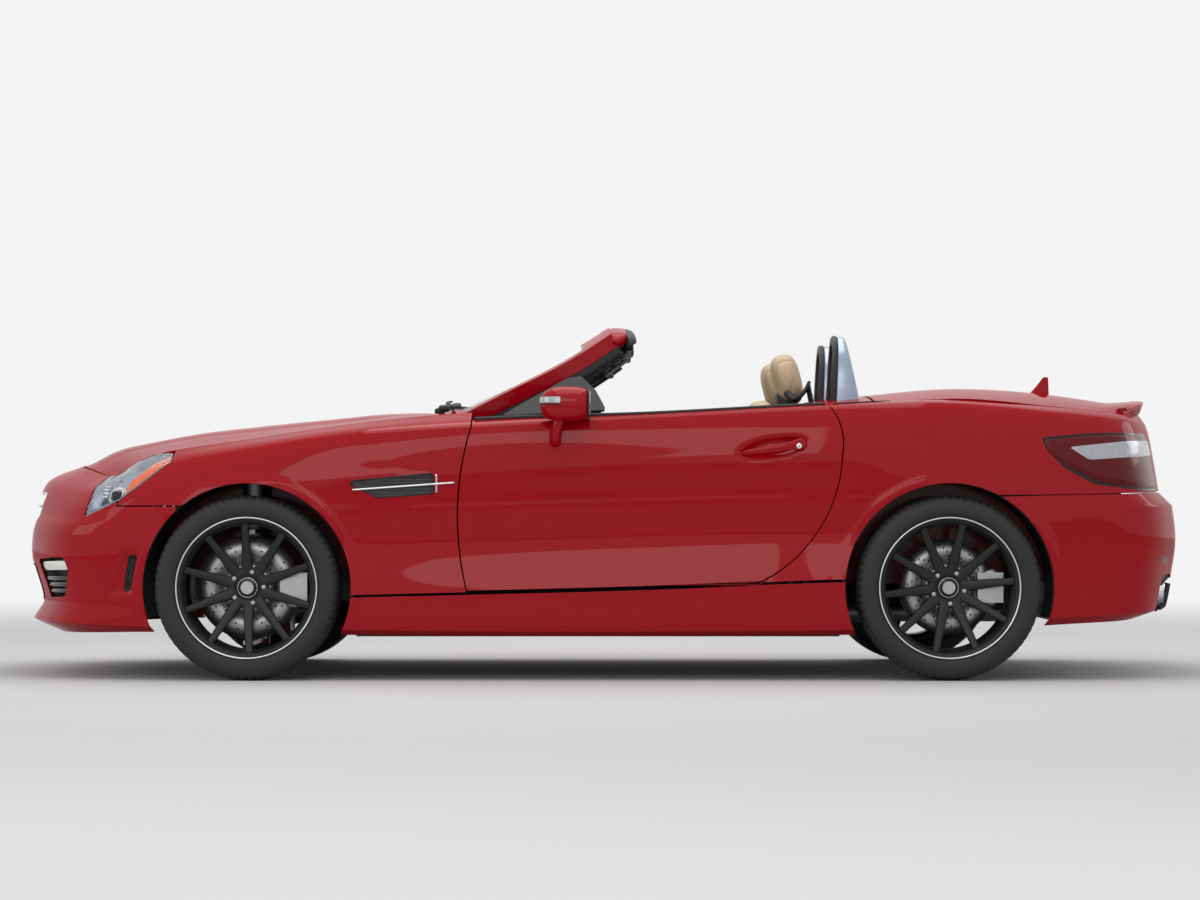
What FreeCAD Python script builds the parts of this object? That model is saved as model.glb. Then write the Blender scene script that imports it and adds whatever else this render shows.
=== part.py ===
import FreeCAD, Part
import math
import os
import re
import Sketcher
from FreeCAD import Rotation, Vector

# An open two-seat roadster, nose towards -X, left side towards -Y, standing on z = 0.
# The origin is on the ground under the middle of its length. All sizes are in millimetres.

doc = FreeCAD.newDocument("convertible_car")
sheet = doc.addObject("Spreadsheet::Sheet", "sizes")

SIZES = [
    # alias, value, meaning
    ("overall_length", 4140, "bumper to bumper"),
    ("body_width", 1816, "over the rear arches, without mirrors"),
    ("front_overhang", 845, "nose to front axle"),
    ("wheel_base", 2430, "front axle to rear axle"),
    ("front_track", 1560, "between the front tyres' middles"),
    ("rear_track", 1565, "between the rear tyres' middles"),
    ("tyre_radius", 320, "outside of the tread"),
    ("front_tyre_width", 235, "section width"),
    ("rear_tyre_width", 255, "section width"),
    ("bead_radius", 229, "where the tyre seats on the rim"),
    ("rim_flange", 17, "height of the rim's flange over the bead"),
    ("rim_wall", 9, "thickness of the barrel"),
    ("spoke_count", 10, "spokes in a rim"),
    ("spoke_width", 30, "width of a spoke"),
    ("wheel_offset", 45, "tyre's middle to the hub's face, outboard"),
    ("hub_radius", 78, "solid middle of the rim"),
    ("stub_radius", 22, "stub axle that the wheel turns on"),
    ("seat_gap", 0.3, "between a piece and what carries it, where they don't touch"),
    ("running_clearance", 0.05, "radial, between the stub axle and its bore"),
    ("front_disc_radius", 180, "brake disc"),
    ("rear_disc_radius", 165, "brake disc"),
    ("disc_thickness", 28, "brake disc"),
    ("arch_radius", 362, "wheel arch, from the axle"),
    ("liner_thickness", 8, "arch liner"),
    ("panel_thickness", 12, "outer body panels with their flanges"),
    ("panel_gap", 6, "shut line between panels"),
    ("door_thickness", 160, "half width to the inner trim"),
    ("door_flange", 36, "door's outer skin with its flange"),
    ("boot_lid_front", 960, "boot lid's front edge, from the middle of the length"),
    ("boot_lid_width", 1090, "boot lid's upright face between the tail lamps"),
    ("tip_height", 302, "middle of the exhaust tips"),
    ("tip_offset", 560, "centre line to an exhaust tip's middle"),
    ("door_setback", 765, "front axle to the door's front edge"),
    ("door_length", 1290, "front edge to rear edge"),
    ("lid_thickness", 22, "bonnet and boot lid"),
    ("cowl_x_back", 525, "front axle to the bonnet's rear edge, on the centre line"),
    ("floor_height", 150, "underside of the floor over the ground"),
    ("floor_thickness", 24, "floor pan"),
    ("tunnel_width", 300, "over the middle of the floor"),
    ("tunnel_height", 190, "over the floor"),
    ("seat_offset", 375, "centre line to a seat's middle"),
    ("seat_width", 440, "over the bolsters"),
    ("steering_wheel_radius", 182, "middle of the rim"),
    ("steering_rim_radius", 15, "half the thickness of the rim"),
    ("kingpin_offset", 22, "tyre's middle to the steering axis, inboard"),
    ("hoop_base", 976, "foot of the roll hoops, in the rear deck"),
    ("hoop_height", 1212, "top of the roll hoops"),
    ("hoop_width", 300, "one roll hoop"),
    ("tip_radius", 40, "exhaust tail pipe"),
]
for row, (alias, value, meaning) in enumerate(SIZES, start=1):
    sheet.set(f"A{row}", alias)
    sheet.set(f"B{row}", str(value))
    sheet.set(f"C{row}", meaning)
    sheet.setAlias(f"B{row}", alias)
doc.recompute()


def size(expression):
    """A length worked out from the sheet's aliases."""
    return float(sheet.evalExpression(expression))


HALF_WIDTH = size("body_width / 2")
NOSE_X = size("-overall_length / 2")
TAIL_X = size("overall_length / 2")
FRONT_AXLE_X = size("front_overhang - overall_length / 2")
REAR_AXLE_X = FRONT_AXLE_X + size("wheel_base")
AXLE_Z = size("tyre_radius")
ARCH = size("arch_radius")
SKIN = size("panel_thickness")
GAP = size("panel_gap")
LID = size("lid_thickness")
DOOR_X = FRONT_AXLE_X + size("door_setback")
DOOR_END_X = DOOR_X + size("door_length")
SIDES = (("left", -1), ("right", 1))

# Body lines, from the underside to the rim where bonnet, belt and boot lid meet the sides.
UNDER, SKIRT, STEP, LOWER, MIDDLE, LEDGE, CREASE, SHOULDER, RIM = range(9)

# Each row is a cross-section: x, then for each body line how far it lies inside the half width, and its height.
SECTIONS = [
    # x                     under      skirt      step       lower      middle     ledge      crease     shoulder   rim
    (FRONT_AXLE_X - 335, [(118, 165), (50, 185), (48, 262), (40, 465), (44, 560), (44, 572), (60, 650), (108, 738), (208, 785)]),
    (FRONT_AXLE_X, [(108, 160), (23, 180), (15, 275), (12, 480), (12, 580), (12, 592), (15, 680), (58, 800), (186, 838)]),
    (FRONT_AXLE_X + 375, [(93, 155), (23, 175), (15, 290), (26, 480), (20, 590), (20, 602), (18, 700), (46, 855), (193, 893)]),
    (DOOR_X, [(93, 152), (28, 170), (20, 300), (40, 480), (30, 600), (30, 612), (26, 722), (42, 880), (203, 930)]),
    ((DOOR_X + DOOR_END_X) / 2, [(93, 152), (26, 170), (16, 318), (40, 490), (32, 620), (32, 632), (26, 765), (50, 918), (166, 926)]),
    (DOOR_END_X, [(93, 155), (18, 175), (6, 345), (26, 500), (18, 630), (18, 642), (15, 788), (50, 950), (163, 960)]),
    (REAR_AXLE_X, [(78, 165), (3, 185), (0, 350), (0, 510), (0, 620), (0, 632), (5, 790), (50, 958), (138, 974)]),
    (REAR_AXLE_X + 375, [(108, 190), (40, 215), (28, 340), (22, 500), (22, 600), (26, 640), (34, 762), (92, 928), (178, 950)]),
]
# The same lines where they cross the centre line: how far behind the nose or ahead of the tail, and the height.
NOSE = [(110, 150), (8, 205), (45, 262), (0, 430), (6, 560), (7, 572), (12, 630), (35, 690), (165, 752)]
TAIL = [(120, 215), (40, 245), (22, 330), (0, 500), (12, 605), (58, 652), (74, 760), (98, 890), (130, 950)]
# Their heights at the corners of the bumpers.
NOSE_CORNER = [160, 195, 262, 445, 545, 557, 605, 660, 713]
TAIL_CORNER = [202, 230, 335, 500, 603, 645, 757, 905, 938]
# How square the plan view of each line is at the ends: 2 is an ellipse, more is squarer.
NOSE_SHAPE = [2.3, 2.4, 2.4, 2.4, 2.2, 2.1, 1.9, 1.75, 1.7]
TAIL_SHAPE = [3.0, 3.0, 3.0, 3.0, 3.0, 2.9, 2.8, 2.7, 2.6]
CORNER_TURNS = (math.radians(30), math.radians(58))
FIRST_SIDE, LAST_SIDE, LAST = 3, 10, 13


def end_knots(end, corner_heights, shape, end_x, sense, section):
    """Points of each body line round one end, from the centre line to the first or last cross-section."""
    x0, row = section
    knots = []
    for line, (back, height) in enumerate(end):
        inset, side_height = row[line]
        x_end = end_x + sense * back
        corner = corner_heights[line]
        points = [Vector(x_end, 0, height)]
        for turn, share in zip(CORNER_TURNS, (0.4, 1.0)):
            along = math.cos(turn) ** (2 / shape[line])
            out = math.sin(turn) ** (2 / shape[line])
            z = height + (corner - height) * share
            points.append(Vector(x0 + (x_end - x0) * along, (HALF_WIDTH - inset) * out, z))
        knots.append(points)
    return knots


FRONT_KNOTS = end_knots(NOSE, NOSE_CORNER, NOSE_SHAPE, NOSE_X, 1, SECTIONS[0])
REAR_KNOTS = end_knots(TAIL, TAIL_CORNER, TAIL_SHAPE, TAIL_X, -1, SECTIONS[-1])
KNOTS = []
for line in range(9):
    side = [Vector(x, HALF_WIDTH - row[line][0], row[line][1]) for x, row in SECTIONS]
    KNOTS.append(FRONT_KNOTS[line] + side + REAR_KNOTS[line][::-1])

# Distance along the lower body line, which spaces the knots of all lines alike.
ALONG = [0.0]
for before, after in zip(KNOTS[LOWER], KNOTS[LOWER][1:]):
    ALONG.append(ALONG[-1] + (after - before).Length)


def knot(line, index):
    """A knot of a body line. Past either end it is mirrored in the centre plane."""
    if index < 0:
        p = KNOTS[line][-index]
        return Vector(p.x, -p.y, p.z), -ALONG[-index]
    if index > LAST:
        p = KNOTS[line][2 * LAST - index]
        return Vector(p.x, -p.y, p.z), 2 * ALONG[LAST] - ALONG[2 * LAST - index]
    return KNOTS[line][index], ALONG[index]


def tangent(line, index):
    """Slope of a body line at a knot, from the knots on both sides of it."""
    (a, ta), (b, tb), (c, tc) = (knot(line, index + k) for k in (-1, 0, 1))
    first = (b - a) * (1 / (tb - ta))
    second = (c - b) * (1 / (tc - tb))
    return (first * (tc - tb) + second * (tb - ta)) * (1 / (tc - ta))


def body_point(line, place, side=1):
    """A point of a body line. place counts knots: 0 is the nose, 3 to 10 the side, 13 the tail."""
    index = min(int(place), LAST - 1)
    f = place - index
    (p0, t0), (p1, t1) = knot(line, index), knot(line, index + 1)
    h = t1 - t0
    p = (
        p0 * (2 * f**3 - 3 * f**2 + 1)
        + tangent(line, index) * (h * (f**3 - 2 * f**2 + f))
        + p1 * (3 * f**2 - 2 * f**3)
        + tangent(line, index + 1) * (h * (f**3 - f**2))
    )
    return Vector(p.x, side * p.y, p.z)


def side_point(line, x, side=1):
    """The point of a body line at a given x, between the first and last cross-sections."""
    low, high = float(FIRST_SIDE), float(LAST_SIDE)
    for _ in range(40):
        middle = (low + high) / 2
        if body_point(line, middle).x < x:
            low = middle
        else:
            high = middle
    p = body_point(line, (low + high) / 2, side)
    return Vector(x, p.y, p.z)


def inward(place, side):
    """Horizontal direction from the skin towards the inside of the car."""
    if FIRST_SIDE <= place <= LAST_SIDE:
        return Vector(0, -side, 0)
    if place < 0.01:
        return Vector(1, 0, 0)
    if place > LAST - 0.01:
        return Vector(-1, 0, 0)
    ahead = body_point(LOWER, place + 0.005) - body_point(LOWER, place - 0.005)
    return Vector(ahead.y, -side * ahead.x, 0).normalize()


def curve(points):
    """A straight edge through two points or an arc through three."""
    if len(points) == 2:
        return Part.LineSegment(*points).toShape()
    a, b, c = points
    chord = (c - a).normalize()
    off = (b - a) - chord * (b - a).dot(chord)
    if off.Length < 0.05:
        b = b + Vector(0, 0.05, 0.05).cross(chord) + Vector(0, math.copysign(0.1, b.y), 0)
    return Part.Arc(a, b, c).toShape()


def shell_wire(skin, groups, thickness, inside, depth=0.0):
    """A closed section: the skin's points joined by groups, moved in by the depth and again by the thickness."""
    points = []
    inner = []
    last = len(skin) - 1
    for i, p in enumerate(skin):
        ahead = skin[min(i + 1, last)] - skin[max(i - 1, 0)]
        flat, rise = ahead.dot(inside), ahead.z
        normal = (inside * rise - Vector(0, 0, flat)) * (1 / math.hypot(flat, rise))
        points.append(p + normal * depth)
        inner.append(p + normal * (depth + thickness))
    edges = [curve([points[i] for i in group]) for group in groups]
    edges.append(curve([points[-1], inner[-1]]))
    edges += [curve([inner[i] for i in reversed(group)]) for group in reversed(groups)]
    edges.append(curve([inner[0], points[0]]))
    return Part.Wire(edges)


ALL_GROUPS = [(0, 1), (1, 2), (2, 3, 4), (4, 5), (5, 6, 7), (7, 8)]


def ring(places, lines, groups, thickness, lift=0.0, depth=0.0):
    """A panel that runs round an end of the car. Each place is a knot place and a side."""
    wires = []
    for place, side in places:
        points = [body_point(line, place, side) for line in lines]
        points[0] = points[0] + Vector(0, 0, lift)
        wires.append(shell_wire(points, groups, thickness, inward(place, side), depth))
    return Part.makeLoft(wires, True, False)


def flank(xs, side, lines, groups, thickness, lift=0.0):
    """A panel along one side of the car, through plane cross-sections."""
    wires = []
    for x in xs:
        points = [side_point(line, x, side) for line in lines]
        points[0] = points[0] + Vector(0, 0, lift)
        wires.append(shell_wire(points, groups, thickness, Vector(0, -side, 0)))
    return Part.makeLoft(wires, True, False)


def outline_face(points, plane):
    """A flat face. Points are pairs, and a triple of pairs stands for an arc through its first two to its third."""
    def place(p):
        return Vector(p[0], 0, p[1]) if plane == "side" else (
            Vector(p[0], p[1], 0) if plane == "plan" else Vector(0, p[0], p[1]))
    edges = []
    start = place(points[0])
    first = start
    for item in points[1:] + [points[0]]:
        if isinstance(item[0], tuple):
            middle, end = place(item[0]), place(item[1])
            edges.append(Part.Arc(start, middle, end).toShape())
        else:
            end = place(item)
            if (end - start).Length > 1e-6:
                edges.append(Part.LineSegment(start, end).toShape())
        start = end
    return Part.Face(Part.Wire(edges))


def side_prism(points, y0, y1):
    """A prism across the car from an outline in x and z."""
    face = outline_face(points, "side")
    face.translate(Vector(0, y0, 0))
    return face.extrude(Vector(0, y1 - y0, 0))


def plan_prism(points, z0, z1):
    """An upright prism from an outline in x and y."""
    face = outline_face(points, "plan")
    face.translate(Vector(0, 0, z0))
    return face.extrude(Vector(0, 0, z1 - z0))


def front_prism(points, x0, x1):
    """A prism along the car from an outline in y and z."""
    face = outline_face(points, "front")
    face.translate(Vector(x0, 0, 0))
    return face.extrude(Vector(x1 - x0, 0, 0))


def block(x0, x1, y0, y1, z0, z1):
    """A box between two corners."""
    low = Vector(min(x0, x1), min(y0, y1), min(z0, z1))
    return Part.makeBox(abs(x1 - x0), abs(y1 - y0), abs(z1 - z0), low)


def mirrored(shape):
    """The same shape on the other side of the car."""
    return shape.mirror(Vector(0, 0, 0), Vector(0, 1, 0))


def keep(name, shape):
    """Adds a sub-part whose shape is worked out above."""
    feature = doc.addObject("Part::Feature", name)
    feature.Label = name
    feature.Shape = shape.removeSplitter() if shape.ShapeType != "Compound" else shape
    PARTS.append(feature)
    return feature


def several(shapes):
    """Solids that stay apart in one sub-part."""
    solids = [solid for shape in shapes for solid in shape.Solids]
    return Part.makeCompound(solids)


PARTS = []


# Bonnet, rear deck and boot lid: arcs across the car. Each row is x, centre height, and the height at the half width below.
SHEET_EDGE = 760
FRONT_SHEET = [
    (NOSE_X + 120, 740, 640), (NOSE_X + 270, 778, 672), (FRONT_AXLE_X - 335, 835, 776),
    (FRONT_AXLE_X, 886, 833), (FRONT_AXLE_X + 375, 928, 889), (FRONT_AXLE_X + 700, 958, 915),
]
REAR_SHEET = [
    (DOOR_END_X - 160, 975, 955), (DOOR_END_X + 110, 1005, 964), (REAR_AXLE_X + 80, 1034, 977),
    (REAR_AXLE_X + 375, 1020, 945), (TAIL_X - 270, 990, 915), (TAIL_X - 130, 966, 890),
]


def sheet_loft(rows, thickness, drop=0.0):
    """A crowned sheet across the car, with its top on the rows' heights less the drop."""
    wires = []
    for x, middle, edge in rows:
        top = [Vector(x, -SHEET_EDGE, edge - drop), Vector(x, 0, middle - drop), Vector(x, SHEET_EDGE, edge - drop)]
        low = [p - Vector(0, 0, thickness) for p in top]
        wires.append(Part.Wire([
            Part.Arc(*top).toShape(), Part.LineSegment(top[2], low[2]).toShape(),
            Part.Arc(*low[::-1]).toShape(), Part.LineSegment(low[0], top[0]).toShape(),
        ]))
    return Part.makeLoft(wires, True, False)


def rim_plan(places, inset):
    """Plan points along the rim line, moved towards the middle of the car."""
    found = []
    for place in places:
        p = body_point(RIM, place, 1) + inward(place, 1) * inset
        found.append((p.x, max(p.y, 0.0)))
    return found


def door_outline(grow):
    """The door's edge seen from the side, made larger by grow."""
    a, b = DOOR_X - grow, DOOR_END_X + grow
    low = side_point(STEP, DOOR_END_X - 330).z
    return [
        (a + 14, 1080), (a + 14, 880), ((a - 33, 600), (a + 2, 296)), (a + 8, 180), (b - 330, 180), (b - 330, low - 10 - grow),
        ((b - 92, 500), (b + 2, 780)), ((b - 6, 890), (b - 46, 957)), (b - 60, 1080),
    ]


def fender(side):
    """Front wing, from the headlamp to the door and from the sill to the bonnet."""
    xs = [FRONT_X, FRONT_AXLE_X - 110, FRONT_AXLE_X + 130, FRONT_AXLE_X + 375, DOOR_X + 30]
    lines = [STEP, LOWER, MIDDLE, LEDGE, CREASE, SHOULDER, RIM]
    panel = flank(xs, side, lines, UPPER_GROUPS, SKIN, GAP)
    wedge = NOSE_RING.common(side_prism(FENDER_WEDGE, 0, side * HALF_WIDTH))
    low_front = block(FRONT_X - 1, FRONT_AXLE_X, 0, side * 1000, 100, BUMPER_TOP_Z + GAP / 2)
    door = side_prism(door_outline(GAP), 0, side * 1000)
    lamp = side_prism(lamp_outline(GAP / 2), 0, side * 1000)
    return panel.cut(arch_drum(FRONT_AXLE_X, side)).cut(door).cut(low_front).fuse(wedge).cut(lamp)


UPPER_GROUPS = [(0, 1, 2), (2, 3), (3, 4, 5), (5, 6)]
FRONT_X = SECTIONS[0][0]
REAR_X = SECTIONS[-1][0]
BUMPER_TOP_Z = 603
TAIL_SPLIT_Z = 640
RING_STEPS = 7
FRONT_PLACES = [(3 - 3 * i / RING_STEPS, -1) for i in range(RING_STEPS)]
FRONT_PLACES += [(3 * i / RING_STEPS, 1) for i in range(RING_STEPS + 1)]
REAR_PLACES = [(LAST_SIDE + 3 * i / RING_STEPS, -1) for i in range(RING_STEPS)]
REAR_PLACES += [(LAST - 3 * i / RING_STEPS, 1) for i in range(RING_STEPS + 1)]
NOSE_RING = ring(FRONT_PLACES, list(range(9)), ALL_GROUPS, SKIN)
NOSE_THICK = ring(FRONT_PLACES, list(range(9)), ALL_GROUPS, 60)
LOW_GROUPS = [(0, 1), (1, 2), (2, 3, 4), (4, 5)]
LOW_LINES = [UNDER, SKIRT, STEP, LOWER, MIDDLE, LEDGE]
TAIL_LOW_RING = ring(REAR_PLACES, LOW_LINES, LOW_GROUPS, SKIN)
HIGH_GROUPS = [(0, 1, 2), (2, 3)]
HIGH_LINES = [LEDGE, CREASE, SHOULDER, RIM]
TAIL_HIGH_RING = ring(REAR_PLACES, HIGH_LINES, HIGH_GROUPS, SKIN, GAP)
TAIL_HIGH_THICK = ring(REAR_PLACES, HIGH_LINES, HIGH_GROUPS, 60, GAP)

# Seen from the side, in x and z: the headlamp, and the wing's point under it.
LAMP = [(-1804, 565), (-1778, 668), (-1737, 716), (-1645, 752), (-1549, 790), (-1495, 790), (-1496, 760), (-1602, 677), (-1676, 625)]
FENDER_WEDGE = [(-1670, BUMPER_TOP_Z + 5), (FRONT_X + 1, BUMPER_TOP_Z + 3), (FRONT_X + 1, 760), (-1602, 677), (-1676, 625)]


def lamp_outline(grow):
    """The headlamp's outline seen from the side, moved out by about grow."""
    cx = sum(p[0] for p in LAMP) / len(LAMP)
    cz = sum(p[1] for p in LAMP) / len(LAMP)
    return [(x + math.copysign(grow, x - cx), z + math.copysign(grow, z - cz)) for x, z in LAMP]


def arch_drum(axle_x, side, grow=0.0):
    """The space of a wheel arch."""
    return Part.makeCylinder(ARCH + grow, 1000, Vector(axle_x, 0, AXLE_Z), Vector(0, side, 0))


LEFT_FENDER = fender(-1)
keep("front_fenders", several([LEFT_FENDER, mirrored(LEFT_FENDER)]))

GRILLE = [(-355, 650), (355, 650), (402, 560), (335, 452), (-335, 452), (-402, 560)]
LOW_INTAKE = [(-440, 395), (440, 395), (400, 272), (-400, 272)]
SIDE_INTAKE = [(520, 415), (745, 425), (752, 372), (700, 285), (540, 280)]


def front_bumper():
    shape = NOSE_RING
    for side in (-1, 1):
        rear = flank([FRONT_X, FRONT_X + 70, FRONT_X + 150], side, list(range(6)), ALL_GROUPS[:4], SKIN)
        shape = shape.fuse(rear)
    for name, side in SIDES:
        shape = shape.cut(side_prism(lamp_outline(GAP / 2), 0, side * 1000))
        shape = shape.cut(block(-1684, FRONT_AXLE_X, side * 600, side * 1000, BUMPER_TOP_Z - GAP / 2, 900))
        shape = shape.cut(arch_drum(FRONT_AXLE_X, side))
        shape = shape.cut(front_prism([(y * side, z) for y, z in SIDE_INTAKE], NOSE_X - 20, NOSE_X + 420))
    for outline in (GRILLE, LOW_INTAKE):
        shape = shape.cut(front_prism(outline, NOSE_X - 20, NOSE_X + 300))
    return shape


keep("front_bumper", front_bumper())


def grown(outline, by):
    """An outline moved out from its middle."""
    middle = [sum(p[k] for p in outline) / len(outline) for k in (0, 1)]
    return [tuple(p[k] + math.copysign(by, p[k] - middle[k]) for k in (0, 1)) for p in outline]


def grilles():
    """Plates behind the openings of the bumper, at its back."""
    backing = ring(FRONT_PLACES, list(range(9)), ALL_GROUPS, SKIN, 0, SKIN + size("seat_gap"))
    outlines = [GRILLE, LOW_INTAKE] + [[(y * side, z) for y, z in SIDE_INTAKE] for name, side in SIDES]
    return several([backing.common(front_prism(grown(outline, 12), NOSE_X - 50, NOSE_X + 420)) for outline in outlines])


keep("front_grilles", grilles())


def headlamp(side):
    """A headlamp, with its lens in the skin of the nose."""
    behind = flank([FRONT_X, FRONT_X + 80], side, list(range(9)), ALL_GROUPS, 60)
    return NOSE_THICK.fuse(behind).common(side_prism(lamp_outline(-GAP / 2), 0, side * 1000))


keep("headlamps", several([headlamp(-1), mirrored(headlamp(-1))]))


def door(side):
    """A door: the outer skin with its flange, and the inner box with the trim."""
    xs = [DOOR_X - 40, DOOR_X + 160, (DOOR_X + DOOR_END_X) / 2, DOOR_END_X - 240, DOOR_END_X + 30]
    lines = [STEP, LOWER, MIDDLE, LEDGE, CREASE, SHOULDER]
    skin = flank(xs, side, lines, UPPER_GROUPS[:3], size("door_flange"), GAP)
    skin = skin.common(side_prism(door_outline(0), 0, side * 1000))
    inner_y = HALF_WIDTH - size("door_thickness")
    outer_y = HALF_WIDTH - 72
    a, b = DOOR_X + 30, DOOR_END_X - 30
    low_z = side_point(STEP, DOOR_END_X - 330).z + 16
    box = side_prism([
        (a, 880), (a, low_z), (b - 330, low_z), (b - 90, 530), (b - 8, 760), (b - 50, 915), ((DOOR_X + DOOR_END_X) / 2, 895),
    ], side * inner_y, side * outer_y)
    return skin.fuse(box)


def quarter_panel(side):
    """Rear wing, from the door and the sill to the tail lamp and the boot lid."""
    xs = [DOOR_END_X - 200, DOOR_END_X - 60, DOOR_END_X + 110, REAR_AXLE_X, REAR_AXLE_X + 190, REAR_X]
    lines = [STEP, LOWER, MIDDLE, LEDGE, CREASE, SHOULDER, RIM]
    panel = flank(xs, side, lines, UPPER_GROUPS, SKIN, GAP)
    low_rear = block(REAR_AXLE_X, REAR_X + 1, 0, side * 1000, 100, TAIL_SPLIT_Z + GAP)
    door_hole = side_prism(door_outline(GAP), 0, side * 1000)
    corner = TAIL_HIGH_RING.common(block(REAR_X, TAIL_X, side * size("boot_lid_width / 2 + panel_gap"), side * 1000, 500, 1100))
    lamp = side_prism(tail_lamp_outline(GAP / 2), side * size("boot_lid_width / 2"), side * 1000)
    return panel.cut(arch_drum(REAR_AXLE_X, side)).cut(door_hole).cut(low_rear).fuse(corner).cut(lamp)


TAIL_LAMP = [(1533, 834), (1700, 850), (1824, 852), (1868, 770), (1900, 700), (1900, 658), (1715, 682), (1618, 733), (1548, 790)]


def tail_lamp_outline(grow):
    """The tail lamp's outline seen from the side, moved out by about grow."""
    cx = sum(p[0] for p in TAIL_LAMP) / len(TAIL_LAMP)
    cz = sum(p[1] for p in TAIL_LAMP) / len(TAIL_LAMP)
    return [(x + math.copysign(grow, x - cx), z + math.copysign(grow, z - cz)) for x, z in TAIL_LAMP]


def tail_lamp(side):
    lamp = side_prism(tail_lamp_outline(-GAP / 2), side * size("boot_lid_width / 2 + panel_gap"), side * 1000)
    return TAIL_HIGH_THICK.common(lamp)


def sill(side):
    """Sill panel between the wheel arches."""
    xs = [FRONT_AXLE_X + 330, DOOR_X + 100, (DOOR_X + DOOR_END_X) / 2, REAR_AXLE_X - 330]
    panel = flank(xs, side, [UNDER, SKIRT, STEP], [(0, 1), (1, 2)], SKIN + 4)
    return panel.cut(arch_drum(FRONT_AXLE_X, side)).cut(arch_drum(REAR_AXLE_X, side))


def rear_bumper():
    """Rear bumper with the lower apron, and room for the tail pipes."""
    shape = TAIL_LOW_RING
    for name, side in SIDES:
        xs = [REAR_AXLE_X + 225, REAR_AXLE_X + 300, REAR_X]
        shape = shape.fuse(flank(xs, side, LOW_LINES, LOW_GROUPS, SKIN))
    pipe = size("tip_radius") + 8
    low = size("tip_height")
    for name, side in SIDES:
        shape = shape.cut(arch_drum(REAR_AXLE_X, side))
        y = side * size("tip_offset")
        shape = shape.cut(block(TAIL_X - 200, TAIL_X + 20, y - 2 * pipe, y + 2 * pipe, low - pipe, low + pipe))
    return shape


def bonnet():
    rows = sheet_loft(FRONT_SHEET, LID)
    half = rim_plan([0.0, 0.5, 1.0, 1.5, 2.0, 2.5, 3.0, 3.5, 4.0, 4.6, 5.0, 5.4, 5.8], 10)
    back = FRONT_AXLE_X + size("cowl_x_back")
    edge = [(x, y) for x, y in half]
    outline = [(x, -y) for x, y in reversed(edge[1:])] + edge + [((back, 0), (edge[-1][0], -edge[-1][1]))]
    return rows.common(plan_prism(outline, 600, 1100))


def cowl():
    """Scuttle panel between bonnet and windscreen, lower than both."""
    rows = sheet_loft(FRONT_SHEET, SKIN, 34)
    front = FRONT_AXLE_X + size("cowl_x_back") - 60
    y = 605
    outline = [(front + 70, -y), (front, -300), (front, 300), (front + 70, y), (DOOR_X + 60, y), (DOOR_X + 60, -y)]
    return rows.common(plan_prism(outline, 600, 1100))


def boot_lid():
    """Boot lid: the top sheet, the upright face between the tail lamps and the lip."""
    half_lid = size("boot_lid_width / 2")
    front = size("boot_lid_front")
    half = rim_plan([8.4, 8.7, 9.0, 9.5, 10.0, 10.5, 11.0, 11.5, 12.0, 12.5, 13.0], 8)
    half = [(front, half[0][1])] + [(min(x, TAIL_X - 138), y) for x, y in half if x > front + 20]
    outline = half + [(x, -y) for x, y in reversed(half[:-1])]
    top = sheet_loft(REAR_SHEET, LID).common(plan_prism(outline, 800, 1100))
    face = ring(REAR_PLACES, HIGH_LINES, HIGH_GROUPS, LID, GAP)
    face = face.common(block(REAR_X, TAIL_X + 20, -half_lid, half_lid, 655, 1000))
    lip = front_prism([(-half_lid, 925), (-half_lid, 948), ((0, 992), (half_lid, 948)), (half_lid, 925), ((0, 962), (-half_lid, 925))],
                      TAIL_X - 175, TAIL_X - 92)
    fin = side_prism([(1560, 1008), (1615, 1030), (1636, 1078), (1660, 1078), (1658, 1008)], -9, 9)
    return top.fuse(face).fuse(lip).fuse(fin)


def rear_deck():
    """Panel between the cabin and the boot lid."""
    back = size("boot_lid_front - panel_gap")
    front = back - 212
    y = HALF_WIDTH - 172
    outline = [(front, -y), (front, y), (back, y), (back, -y)]
    return sheet_loft(REAR_SHEET, LID).common(plan_prism(outline, 800, 1100))


DOORS = {side: door(side) for name, side in SIDES}
for name, side in SIDES:
    keep(f"door_{name}", DOORS[side])
keep("quarter_panels", several([quarter_panel(-1), quarter_panel(1)]))
keep("tail_lamps", several([tail_lamp(-1), tail_lamp(1)]))
keep("side_sills", several([sill(-1), sill(1)]))
keep("rear_bumper", rear_bumper())
keep("bonnet", bonnet())
keep("scuttle", cowl())
keep("boot_lid", boot_lid())
keep("rear_deck", rear_deck())

# Front and rear axle lines, in the sheet's words.
FRONT = "(front_overhang - overall_length / 2)"
REAR = f"({FRONT} + wheel_base)"
DOOR = f"({FRONT} + door_setback)"
CABIN_FRONT = f"({DOOR} - 366)"
CABIN_REAR = f"({DOOR} + door_length - 90)"


def bind(obj, name, expression):
    """Ties a property to the sheet."""
    obj.setExpression(name, re.sub(r"([a-z][a-z_]+)", r"sizes.\1", expression))


def place(obj, x="0", y="0", z="0"):
    for axis, expression in (("x", x), ("y", y), ("z", z)):
        bind(obj, f"Placement.Base.{axis}", expression)


def bar(name, x, y, z):
    """A box. Each of x, y and z is a pair of expressions, from and to."""
    obj = doc.addObject("Part::Box", name)
    for prop, (low, high) in (("Length", x), ("Width", y), ("Height", z)):
        bind(obj, prop, f"({high}) - ({low})")
    place(obj, x[0], y[0], z[0])
    return obj


def both_sides(name, x, y, z):
    """Two boxes alike, left and right. y is measured outwards from the centre plane."""
    left = bar(f"{name}_left", x, (f"-({y[1]})", f"-({y[0]})"), z)
    return [left, bar(f"{name}_right", x, y, z)]


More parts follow.
